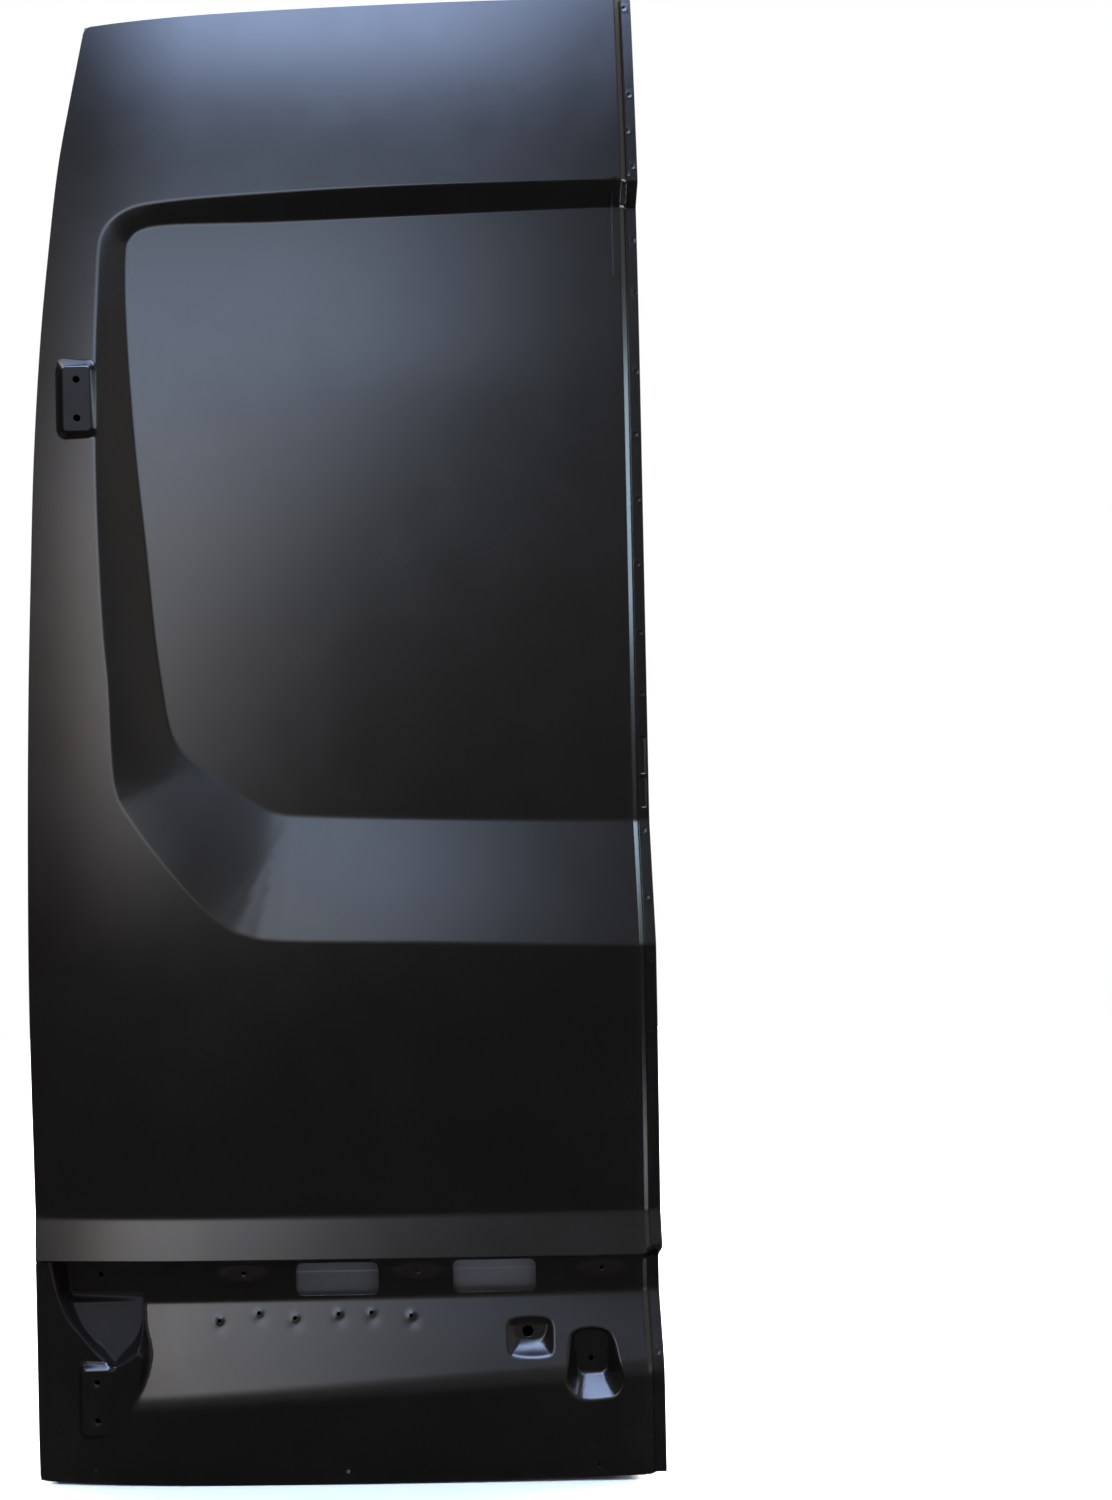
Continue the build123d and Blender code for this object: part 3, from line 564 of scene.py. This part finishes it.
holes = [circle((0, s * 25.0), 4.5 + 0.7, 36) for s in (1, -1)]
holes += [resample(rrect(c, LAMP[0] + 1.4, LAMP[1] + 1.4, LAMP[2] + 0.7, 10), 1.6, True) for c in LAMPS]
holes += [circle(c, 3.25 + 0.7, 30) for c in SHELF_HOLES]
holes += [circle(c, 2.5 + 0.6, 24) for c in PLATE_HOLES + BOTTOM_HOLES]
holes += [circle(POCKET1_HOLE, 7.7, 36), circle(POCKET2_HOLE, 3.95, 30)]
pts = [rows(rrect((0, 0), *SEAT), [-3.4, -1.7, -0.6, 0.8, 2.4, 4.0, 5.2, 6.4, 7.6, 9.0, 11.0], 2.0)]
for line_o, line_i in ((P1_OUT, P1_IN), (P2_OUT, P2_IN)):
    pts += [rows(line_o, [-3.5, -2, -1, 0, 1, 2, 3.5, 5.5], 1.8), rows(line_i, [-3.5, -2, -1, 0, 1, 2, 3.5], 1.8)]
sc = (SC_OUT[:, 1] < 190)
pts += [rows(SC_OUT[sc], [-5, -3.3, -1.8, 0, 1.8, 3.3, 5], 2.6, False), rows(SC_IN[SC_IN[:, 1] < 190], [-6, -4, -2, 0, 2, 4, 6], 2.6, False)]
xs = np.arange(-76, X_SEAM, 4.5)
for dz in (-6.5, -4.2, -2.6, -1.3, 0, 1.3, 2.6, 4.2, 6.5):
    pts.append(np.stack([xs, face_top(xs) + dz], 1))
for c in PLATE_HOLES:
    for r in (4.2, 5.6, 7.2, 9.0, 11.5):
        pts.append(circle(c, r, 28))
for c in BOTTOM_HOLES:
    for r in (4.2, 5.6, 7.5, 10.0):
        pts.append(circle(c, r, 26))
for c in SHELF_HOLES[1:]:
    for q in (0.5, 0.58, 0.68, 0.78, 0.88, 0.98, 1.08, 1.16):
        a = np.arange(64) * 2 * math.pi / 64
        pts.append(np.stack([c[0] + 37.0 * q * np.cos(a), c[1] - 1.0 + 14.5 * q * np.sin(a)], 1))
feature = thin(np.vstack(pts), 0.8)
grid_a = hexgrid(-82, 90, -112, STRIP_LIP, 3.0)
grid_b = hexgrid(90, X_SEAM, -112, STRIP_LIP, 4.6)
back = away(np.vstack([grid_a, grid_b]), feature, 2.0)
cloud = np.vstack([feature, back])
cloud = cloud[inside(cloud, inset(orient(outline_low, True), 1.3))]
cloud = near_bolt(cloud, holes, 0.8)
lower = sheet("lower_skin", depth_lower, outline_low, holes, cloud, 1.2,
              skip=lambda L: (L[:, 0] > X_SEAM - 0.01) | (L[:, 1] > STRIP_LIP - 0.01))
# folded return along the hinge edge, back to the side wall of the hinge post
zs = np.linspace(-90.0, 190.0, 57)
edge_x = np.interp(zs, [p[1] for p in LEFT_EDGE], [p[0] for p in LEFT_EDGE]) + RETURN_IN
at = np.stack([edge_x, zs], 1)
front = np.where(zs < 180.0, depth_lower(at) + 0.6, depth_upper(np.stack([edge_x, np.maximum(zs, 186.0)], 1)) + 1.0)
for dx, way in ((0.0, -1.0), (0.7, 1.0)):
    co = np.stack([np.stack([edge_x + dx, front + (plan(edge_x) + 60.0 - front) * k, zs], 1) for k in np.linspace(0, 1, 9)], 1)
    lower.grid(co, np.tile(np.array([way, 0.0, 0.0]), co.shape[:2] + (1,)), flip=way < 0)
lower_skin = lower.make("lower_skin")

# lower hinge reinforcement, pressed to the shape of the skin in front of it
plate_run = resample(np.array([(-53.9, -65.9), (39.9, -65.9), (39.9, 65.9), (-53.9, 65.9)]), 4.0, True)
plate_pts = np.vstack([thin(rows(rrect((0, 0), *SEAT), [-3.4, -1.7, -0.6, 0.8, 2.4, 4.0, 5.2, 6.4, 7.6, 9.0], 2.4), 0.9), hexgrid(-53, 39, -65, 65, 3.2)])
plate_pts = plate_pts[inside(plate_pts, inset(orient(plate_run, True), 1.6))]
plate_holes = [circle((0, s * 25.0), 4.5 + 0.7, 36) for s in (1, -1)]
plate_pts = near_bolt(plate_pts, plate_holes, 1.0)
hinge_plate = sheet("hinge_plate", lambda P: depth_lower(P) + 1.6, plate_run, plate_holes, plate_pts, 2.2).make("hinge_plate")

# ------------------------------------------------------------------ lock edge: rolled side wall and closing flange
PROFILE = [(711.0, 0.0), (711.8, 0.0), (712.6, 0.15), (713.4, 0.7), (714.4, 1.75), (715.6, 3.05), (717.0, 4.6), (718.4, 6.15),
           (719.6, 7.6), (720.4, 9.0), (721.0, 10.4), (721.8, 11.45), (723.0, 11.95), (724.4, 12.0), (735.2, 12.0)]
prof = catmull(PROFILE, 4)
arc = np.concatenate([[0], np.cumsum(np.linalg.norm(np.diff(prof, axis=0), axis=1))])
S_END = float(arc[-1])
s_of_x = lambda x: float(np.interp(x, prof[:, 0], arc))


def y_edge(z, x):
    up = depth_upper(np.stack([np.full(len(z), x), z], 1))
    lo = depth_lower(np.stack([np.full(len(z), x), z], 1))
    t = np.clip((z - 166.0) / 26.0, 0, 1)
    soft = t * t * (3 - 2 * t)
    hard = (z >= 182.2).astype(float)
    k = np.clip((x - 712.0) / 4.0, 0, 1)
    w = hard * (1 - k) + soft * k
    return lo * (1 - w) + up * w


def flange_place(Q):
    x = np.interp(Q[:, 0], arc, prof[:, 0])
    off = np.interp(Q[:, 0], arc, prof[:, 1])
    z = Q[:, 1]
    ya = y_edge(z, 711.0)
    yb = y_edge(z, 715.0)
    yc = y_edge(z, 717.0)
    k = np.clip((x - 711.0) / 4.0, 0, 1)
    m = np.clip((x - 715.0) / 2.0, 0, 1)
    y = ya * (1 - k) + (yb * (1 - m) + yc * m) * k + off
    for cx, cz in WELD_DOTS:
        r2 = (x - cx) ** 2 + (z - cz) ** 2
        y = y + 0.32 * np.exp(-r2 / 5.0) - 0.14 * np.exp(-(np.sqrt(r2) - 4.0) ** 2 / 1.2)
    for zc, h in FLANGE_SLOTS:
        y = y + 1.0 * (1 - ramp((rounded_sdf(x - 728.5, z - zc, 7.0, h, 1.6) + 0.6) / 1.2, 0.4, 0.4))
    return np.stack([x, y, z], 1)


zs = [-102.4]
while zs[-1] < 1822.0:
    z = zs[-1]
    fine = 160 < z < 200 or abs(z - face_top(715.0)) < 8 or abs(z - STRIP_TOP) < 10 or 570 < z < 592 or 730 < z < 748 or 1535 < z < 1585
    zs.append(z + (2.0 if fine else 6.0))
zs = np.array(zs[:-1] + [1822.3])
ss = np.concatenate([arc[::3], [S_END]])
ss = np.unique(np.round(ss, 3))
grid_pts = np.array([(s, z) for s in ss[1:-1] for z in zs[1:-1]])
edge = np.vstack([np.stack([np.full(len(zs), 0.0), zs], 1)[::-1],
                  np.stack([ss[1:-1], np.full(len(ss) - 2, zs[0])], 1),
                  np.stack([np.full(len(zs), S_END), zs], 1),
                  np.stack([ss[1:-1], np.full(len(ss) - 2, zs[-1])], 1)[::-1]])
slots = []
seats = np.vstack([rows(rrect((s_of_x(728.5), zc), 7.0, h, 1.6, 6), [-1.6, -0.8, 0.0, 0.8, 1.6], 1.6) for zc, h in FLANGE_SLOTS])
dots = np.vstack([circle((s_of_x(x), z), r, n) for x, z in WELD_DOTS for r, n in ((1.2, 8), (2.4, 14), (3.4, 18), (4.3, 22), (5.6, 24))])
dots = dots[(dots[:, 0] > 0.6) & (dots[:, 0] < S_END - 0.8) & (dots[:, 1] > zs[0] + 1) & (dots[:, 1] < zs[-1] - 1)]
dots = thin(np.vstack([dots, seats]), 0.6)
grid_pts = np.vstack([dots, away(grid_pts, dots, 1.2)])


def flange_normals(Q):
    e = 0.2
    a = flange_place(Q + [e, 0]) - flange_place(Q - [e, 0])
    b = flange_place(Q + [0, e]) - flange_place(Q - [0, e])
    n = np.cross(a, b)
    return n / np.maximum(np.linalg.norm(n, axis=1), 1e-9)[:, None]


edge = orient(edge, True)
v, f = cdt(edge, slots, grid_pts)
fb = Builder()
co = flange_place(v)
no = flange_normals(v)
# at the seam the wall takes the skin's own normal
at = np.abs(v[:, 0]) < 1e-3
P = np.stack([np.full(at.sum(), X_SEAM), v[at, 1]], 1)
_, nu = surface(depth_upper, P)
_, nl = surface(depth_lower, P)
no[at] = np.where((P[:, 1] >= 182.2)[:, None], nu, nl)
fb.add(co, no, f)
fb.add(co - no * 1.3, -no, f[:, ::-1])
for loop in [edge] + slots:
    lc, ln = flange_place(loop), flange_normals(loop)
    o2 = normals2d(loop, True)
    side = flange_place(loop + o2 * 0.4) - flange_place(loop - o2 * 0.4)
    side /= np.maximum(np.linalg.norm(side, axis=1), 1e-9)[:, None]
    keep = ~(np.abs(loop[:, 0]) < 1e-3)
    cols, nos = [], []
    for k in range(6):
        a = math.pi * k / 5
        cols.append(lc + side * 0.6 * math.sin(a) - ln * 0.65 * (1 - math.cos(a)))
        nos.append(ln * math.cos(a) + side * math.sin(a))
    m = len(loop)
    tris = []
    for i in range(m):
        j = (i + 1) % m
        if keep[i] or keep[j]:
            for k in range(5):
                p, q, r, s = k * m + i, k * m + j, (k + 1) * m + j, (k + 1) * m + i
                tris += [(p, s, r), (p, r, q)]
    fb.add(np.array(cols).reshape(-1, 3), np.array(nos).reshape(-1, 3), tris)
lock_flange = fb.make("lock_flange")

for piece, names in ((upper_skin, ("upper_outer_skin", "hinge_side_outer_skin")), (lower_skin, ("lower_outer_skin", "lamp_shelf_skin", "lamp_surround_strips", "hinge_corner_skin")),
                     (lock_flange, ("lock_edge_flange",)), (hinge_plate, ("lower_hinge_reinforcement",))):
    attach(piece, "root")
    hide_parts(*names)


# ------------------------------------------------------------------ materials
def material(name):
    m = bpy.data.materials.new(name)
    m.use_nodes = True
    t = m.node_tree
    t.nodes.clear()
    out = t.nodes.new("ShaderNodeOutputMaterial")
    bs = t.nodes.new("ShaderNodeBsdfPrincipled")
    t.links.new(bs.outputs["BSDF"], out.inputs["Surface"])
    co = t.nodes.new("ShaderNodeTexCoord")
    return m, t, bs, co.outputs["Object"]


def noise(t, vec, scale, detail=3.0, rough=0.55):
    n = t.nodes.new("ShaderNodeTexNoise")
    n.inputs["Scale"].default_value = scale
    n.inputs["Detail"].default_value = detail
    n.inputs["Roughness"].default_value = rough
    t.links.new(vec, n.inputs["Vector"])
    return n.outputs["Fac"]


def spread(t, val, a, b, c, d):
    n = t.nodes.new("ShaderNodeMapRange")
    n.interpolation_type = "SMOOTHSTEP"
    for k, x in zip(("From Min", "From Max", "To Min", "To Max"), (a, b, c, d)):
        n.inputs[k].default_value = x
    t.links.new(val, n.inputs["Value"])
    return n.outputs["Result"]


def math_node(t, op, a, b):
    n = t.nodes.new("ShaderNodeMath")
    n.operation = op
    for k, x in enumerate((a, b)):
        if isinstance(x, (int, float)):
            n.inputs[k].default_value = x
        else:
            t.links.new(x, n.inputs[k])
    return n.outputs[0]


def mix_colour(t, fac, a, b):
    n = t.nodes.new("ShaderNodeMix")
    n.data_type = "RGBA"
    t.links.new(fac, n.inputs[0])
    for k, x in ((6, a), (7, b)):
        if isinstance(x, tuple):
            n.inputs[k].default_value = (*x, 1)
        else:
            t.links.new(x, n.inputs[k])
    return n.outputs[2]


def bumped(t, bs, height, strength, dist):
    n = t.nodes.new("ShaderNodeBump")
    n.inputs["Strength"].default_value = strength
    n.inputs["Distance"].default_value = dist
    t.links.new(height, n.inputs["Height"])
    t.links.new(n.outputs["Normal"], bs.inputs["Normal"])


def ecoat(name, dark, dusty, r0, r1, peel=0.05, dust=0.5, gloss=0.5):
    m, t, bs, co = material(name)
    cloud_f = noise(t, co, 2.3, 4.0, 0.6)
    wipe = noise(t, co, 14.0, 5.0, 0.65)
    speck = noise(t, co, 520.0, 2.0, 0.5)
    film = math_node(t, "MULTIPLY", spread(t, cloud_f, 0.38, 0.68, 0.15, 1.0), spread(t, wipe, 0.35, 0.75, 0.2, 1.0))
    grain = math_node(t, "MULTIPLY", spread(t, speck, 0.60, 0.74, 0.0, dust), film)
    geo = t.nodes.new("ShaderNodeNewGeometry")
    worn = spread(t, geo.outputs["Pointiness"], 0.515, 0.56, 0.0, 0.35)
    amount = math_node(t, "MAXIMUM", math_node(t, "MAXIMUM", grain, math_node(t, "MULTIPLY", film, 0.22)), worn)
    t.links.new(mix_colour(t, amount, dark, dusty), bs.inputs["Base Color"])
    rough = math_node(t, "ADD", spread(t, math_node(t, "ADD", math_node(t, "MULTIPLY", cloud_f, 0.6), math_node(t, "MULTIPLY", wipe, 0.4)),
                                       0.35, 0.65, r0, r1), math_node(t, "MULTIPLY", grain, 0.15))
    t.links.new(rough, bs.inputs["Roughness"])
    bs.inputs["Specular IOR Level"].default_value = gloss
    fine = math_node(t, "ADD", math_node(t, "MULTIPLY", noise(t, co, 900.0, 1.0), 0.5), math_node(t, "MULTIPLY", noise(t, co, 260.0, 2.0), 0.5))
    bumped(t, bs, fine, peel, 0.0004)
    return m


skin_mat = ecoat("black_ecoat", (0.0034, 0.0027, 0.0021), (0.0095, 0.0077, 0.0062), 0.20, 0.25)
bare_mat = ecoat("thin_ecoat", (0.0065, 0.0055, 0.005), (0.012, 0.0105, 0.0095), 0.42, 0.52, 0.06, 0.6, 0.16)
inner_mat = ecoat("black_ecoat_inner", (0.004, 0.004, 0.0043), (0.016, 0.015, 0.0145), 0.36, 0.46, 0.08, 0.7)

m, t, bs, co = material("grey_backing")
flow = noise(t, co, 7.0, 4.0, 0.6)
grit = noise(t, co, 380.0, 3.0, 0.6)
sep = t.nodes.new("ShaderNodeSeparateXYZ")
t.links.new(co, sep.inputs[0])
# painted highlight: a thin lighter band at object Z 0.1546 to 0.1572 m stands in for light catching a bend line that
# the backing mesh does not have
painted_fold_highlight = math_node(t, "MULTIPLY", spread(t, sep.outputs[2], 0.1546, 0.1554, 0.0, 1.0), spread(t, sep.outputs[2], 0.1562, 0.1572, 1.0, 0.0))
thin_paint = spread(t, math_node(t, "ADD", math_node(t, "MULTIPLY", flow, 0.6), math_node(t, "MULTIPLY", grit, 0.4)), 0.32, 0.68, 0, 1)
# lighter towards +X, so the backing behind the right-hand lamp cutout is lighter than behind the left one
lighter_to_right = spread(t, sep.outputs[0], 0.37, 0.47, 0.0, 0.5)
paint = mix_colour(t, math_node(t, "ADD", math_node(t, "MULTIPLY", thin_paint, 0.5), lighter_to_right), (0.022, 0.022, 0.021), (0.062, 0.061, 0.058))
# the painted fold highlight colour is mixed in along that band
t.links.new(mix_colour(t, painted_fold_highlight, paint, (0.075, 0.076, 0.077)), bs.inputs["Base Color"])
t.links.new(spread(t, grit, 0.3, 0.7, 0.5, 0.68), bs.inputs["Roughness"])
bumped(t, bs, grit, 0.25, 0.0006)
grey_mat = m

m, t, bs, co = material("damping_mastic")
lump = noise(t, co, 90.0, 4.0, 0.6)
fine = noise(t, co, 600.0, 2.0)
t.links.new(mix_colour(t, spread(t, lump, 0.3, 0.7, 0, 1), (0.03, 0.028, 0.026), (0.065, 0.06, 0.055)), bs.inputs["Base Color"])
t.links.new(spread(t, fine, 0.3, 0.7, 0.7, 0.9), bs.inputs["Roughness"])
bumped(t, bs, math_node(t, "ADD", lump, math_node(t, "MULTIPLY", fine, 0.3)), 0.6, 0.0015)
mastic_mat = m

m, t, bs, co = material("zinc_nut")
grit = noise(t, co, 300.0, 3.0, 0.6)
blot = noise(t, co, 60.0, 3.0)
t.links.new(mix_colour(t, spread(t, blot, 0.35, 0.65, 0, 1), (0.33, 0.33, 0.32), (0.5, 0.49, 0.46)), bs.inputs["Base Color"])
bs.inputs["Metallic"].default_value = 1.0
t.links.new(spread(t, grit, 0.3, 0.7, 0.28, 0.48), bs.inputs["Roughness"])
bumped(t, bs, grit, 0.15, 0.0003)
zinc_mat = m


def wear(o, mat):
    if o.data.materials:
        for k in range(len(o.data.materials)):
            o.data.materials[k] = mat
    else:
        o.data.materials.append(mat)


for piece in (upper_skin, lower_skin, lock_flange):
    wear(piece, skin_mat)
wear(hinge_plate, inner_mat)


def thin_coat(piece, where):
    """Second, duller coat on the triangles whose middles lie where asked."""
    piece.data.materials.append(bare_mat)
    me = piece.data
    mid = np.zeros(len(me.polygons) * 3)
    me.polygons.foreach_get("center", mid)
    mid = mid.reshape(-1, 3) * 1000.0
    me.polygons.foreach_set("material_index", where(mid[:, [0, 2]]).astype(np.int32))
    me.update()


def scoop_area(P):
    got = np.zeros(len(P), bool)
    near = (P[:, 0] > -70) & (P[:, 0] < 66) & (P[:, 1] > 40) & (P[:, 1] < 134)
    q = P[near]
    edge_x = np.interp(q[:, 1], S_LINE[:, 1], S_LINE[:, 0])
    got[near] = (signed(q, SC_OUT) < 2.5) & (q[:, 0] < np.minimum(edge_x + 23.0, 60.5)) & (rounded_sdf(q[:, 0], q[:, 1], *SEAT) > 8.0)
    return got


thin_coat(upper_skin, lambda P: rounded_sdf(P[:, 0], P[:, 1] - PITCH, *SEAT) < -0.8)
thin_coat(lower_skin, scoop_area)
NODE_LOOK = {"plate_lamp_backing": grey_mat, "skin_damping_pads": mastic_mat, "shelf_weld_nuts": zinc_mat,
             "upper_hinge_nut_plate": zinc_mat, "lower_hinge_nut_plate": zinc_mat}
for name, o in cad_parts.items():
    for ob in (o if isinstance(o, (list, tuple)) else [o]):
        if getattr(ob, "type", "") == "MESH":
            for s in ob.material_slots:
                s.material = NODE_LOOK.get(name, inner_mat)

# ------------------------------------------------------------------ floor, light, camera
FLOOR_Z = CAD_BOX[0][2]
n = 24
m, t, bs, co = material("studio_floor")
t.links.new(mix_colour(t, spread(t, noise(t, co, 6.0, 4.0), 0.3, 0.7, 0, 1), (0.86, 0.86, 0.86), (0.9, 0.9, 0.9)), bs.inputs["Base Color"])
bs.inputs["Roughness"].default_value = 0.9
for name, x0, x1, y0, y1 in (("floor_front", -3200, 4200, -1500, 0), ("floor", -3200, 2300, 0, 5200), ("floor_side", 2300, 3200, 0, 5200),
                             ("floor_end", 3200, 4200, 0, 5200)):
    b = Builder()
    gx, gy = np.meshgrid(np.linspace(x0, x1, n), np.linspace(y0, y1, n), indexing="ij")
    b.grid(np.stack([gx, gy, np.full_like(gx, FLOOR_Z * 1000 - 0.5)], -1), np.tile(np.array([0, 0, 1.0]), (n, n, 1)), flip=True)
    floor = b.make(name)
    wear(floor, m)
    floor.visible_glossy = name == "floor_side"

scene = bpy.context.scene
scene.view_settings.view_transform = "Standard"
scene.view_settings.look = "None"

world = bpy.data.worlds.new("studio")
scene.world = world
world.use_nodes = True
t = world.node_tree
t.nodes.clear()
out = t.nodes.new("ShaderNodeOutputWorld")
bg = t.nodes.new("ShaderNodeBackground")
white = t.nodes.new("ShaderNodeBackground")
white.inputs["Color"].default_value = (1, 1, 1, 1)
white.inputs["Strength"].default_value = 1.0
mixer = t.nodes.new("ShaderNodeMixShader")
path = t.nodes.new("ShaderNodeLightPath")
t.links.new(path.outputs["Is Camera Ray"], mixer.inputs[0])
t.links.new(bg.outputs[0], mixer.inputs[1])
t.links.new(white.outputs[0], mixer.inputs[2])
t.links.new(mixer.outputs[0], out.inputs["Surface"])
tc = t.nodes.new("ShaderNodeTexCoord")
sep = t.nodes.new("ShaderNodeSeparateXYZ")
t.links.new(tc.outputs["Generated"], sep.inputs[0])
DX, DY, DZ = sep.outputs


HEIGHT = spread(t, DZ, -0.07, 0.06, 0.0, 1.0)
FRONT = mix_colour(t, spread(t, DX, 0.42, 0.62, 0.0, 1.0), (0.24, 0.225, 0.205), (0.45, 0.42, 0.375))
SIDE = mix_colour(t, spread(t, DX, -0.85, -0.45, 0.0, 1.0), (0.11, 0.10, 0.095), FRONT)
t.links.new(mix_colour(t, HEIGHT, (0.05, 0.045, 0.04), SIDE), bg.inputs["Color"])
bg.inputs["Strength"].default_value = 1.0


def panel(name, corner, du, dv, n=12):
    """A soft light panel that only adds light: light from behind passes through it."""
    b = Builder()
    u, v = np.meshgrid(np.linspace(0, 1, n), np.linspace(0, 1, n), indexing="ij")
    co = np.array(corner) + u[..., None] * np.array(du) + v[..., None] * np.array(dv)
    nrm = np.cross(du, dv)
    b.grid(co * 1000.0, np.tile(nrm / np.linalg.norm(nrm), (n, n, 1)))
    o = b.make(name)
    m = bpy.data.materials.new(name)
    m.use_nodes = True
    t = m.node_tree
    t.nodes.clear()
    out = t.nodes.new("ShaderNodeOutputMaterial")
    add = t.nodes.new("ShaderNodeAddShader")
    em = t.nodes.new("ShaderNodeEmission")
    tr = t.nodes.new("ShaderNodeBsdfTransparent")
    t.links.new(em.outputs[0], add.inputs[0])
    t.links.new(tr.outputs[0], add.inputs[1])
    t.links.new(add.outputs[0], out.inputs["Surface"])
    tc = t.nodes.new("ShaderNodeTexCoord")
    sep = t.nodes.new("ShaderNodeSeparateXYZ")
    t.links.new(tc.outputs["Object"], sep.inputs[0])
    o.data.materials.append(m)
    o.visible_camera = False
    o.visible_shadow = False
    return t, em, sep.outputs


def product(t, *vals):
    got = vals[0]
    for v in vals[1:]:
        got = math_node(t, "MULTIPLY", got, v)
    return got


t, em, (PX, PY, PZ) = panel("window_panel", (-1.8, -2.0, 0.4), (2.8, 0, 0), (0, 0, 2.7))
slant = math_node(t, "ADD", math_node(t, "MULTIPLY", math_node(t, "MINIMUM", math_node(t, "MAXIMUM", math_node(t, "SUBTRACT", PZ, 0.98), 0.0), 0.57), 0.75),
                  math_node(t, "MULTIPLY", math_node(t, "MINIMUM", math_node(t, "MAXIMUM", math_node(t, "SUBTRACT", PZ, 1.55), 0.0), 0.16), 1.3))
right_side = spread(t, math_node(t, "SUBTRACT", PX, slant), -0.38, 0.28, 3.6, 0.0)
lean_in = math_node(t, "MULTIPLY", math_node(t, "MAXIMUM", math_node(t, "SUBTRACT", PZ, 1.36), 0.0), 0.35)
lean_low = math_node(t, "MULTIPLY", math_node(t, "MINIMUM", math_node(t, "MAXIMUM", math_node(t, "SUBTRACT", 1.4, PZ), 0.0), 0.45), 0.25)
left_side = spread(t, math_node(t, "SUBTRACT", math_node(t, "SUBTRACT", PX, lean_in), lean_low), -1.15, -0.70, 0.08, 1.0)
t.links.new(product(t, right_side, left_side, spread(t, PZ, 0.46, 0.98, 0.0, 1.0), spread(t, PZ, 2.0, 2.85, 1.0, 0.26),
                    spread(t, PZ, 2.9, 3.08, 1.0, 0.15), math_node(t, "ADD", 1.0, product(t, spread(t, PZ, 1.56, 1.68, 0.0, 0.16), spread(t, PZ, 1.80, 1.92, 1.0, 0.0), spread(t, PX, 0.25, 0.45, 0.3, 1.0)))),
            em.inputs["Strength"])
side_tint = mix_colour(t, spread(t, PX, -0.9, -0.2, 0, 1), (1.08, 0.96, 0.92), (0.98, 0.99, 1.04))
t.links.new(mix_colour(t, product(t, spread(t, PZ, 1.2, 1.7, 0, 1), spread(t, PX, -0.95, -0.35, 0.1, 1.0)), side_tint, (0.80, 0.99, 1.34)),
            em.inputs["Color"])

t, em, (PX, PY, PZ) = panel("ceiling_panel", (-1.1, 1.0, 4.0), (2.8, 0, 0), (0, -5.0, 0))
t.links.new(product(t, spread(t, PY, -3.52, -2.62, 0.0, 11.7), spread(t, PY, -1.7, -1.1, 1.0, 0.76), spread(t, PX, -1.0, -0.1, 0.2, 1.0), math_node(t, "MAXIMUM", spread(t, PX, 0.56, 1.06, 1.0, 0.1), spread(t, PY, -2.4, -1.8, 0.0, 1.0))),
            em.inputs["Strength"])
t.links.new(mix_colour(t, spread(t, PY, -3.6, -2.0, 0, 1), (0.70, 0.9, 1.36), (0.66, 0.87, 1.40)), em.inputs["Color"])


def area(name, place, aim, size, power, colour):
    li = bpy.data.lights.new(name, "AREA")
    li.shape = "RECTANGLE"
    li.size, li.size_y = size
    li.energy = power
    li.color = colour
    o = bpy.data.objects.new(name, li)
    o.location = place
    o.rotation_euler = (Vector(aim) - Vector(place)).to_track_quat("-Z", "Y").to_euler()
    scene.collection.objects.link(o)
    return o


edge = area("edge_light", (3.15, 0.42, 1.4), (0.72, 0.02, 1.15), (1.0, 0.62), 13.0, (0.66, 0.93, 1.16))
edge.visible_camera = False
side = area("side_light", (2.6, -0.25, 1.56), (0.02, 0.0, 1.29), (0.3, 0.4), 2.5, (0.72, 0.94, 1.12))
side.visible_camera = False
rear = area("rear_light", (0.6, 2.6, 3.8), (0.6, 2.6, 0.0), (7.0, 4.6), 900.0, (1.0, 1.0, 1.0))
rear.visible_camera = False

cam_data = bpy.data.cameras.new("camera")
cam = bpy.data.objects.new("camera", cam_data)
scene.collection.objects.link(cam)
DIST = 3.3
cam_data.sensor_width = 36.0
cam_data.lens = 36.0 * DIST / 1.9435
cam_data.shift_x = 0.1405
cam_data.shift_y = -0.002
cam_data.clip_end = 100.0
th = math.asin(0.0209)
right = Vector((math.cos(th), 0, -math.sin(th)))
up = Vector((math.sin(th), 0, math.cos(th)))
rot = Matrix((right, up, Vector((0, -1, 0)))).transposed()
cam.matrix_world = Matrix.Translation((0.339, -DIST, 0.843)) @ rot.to_4x4()
scene.camera = cam
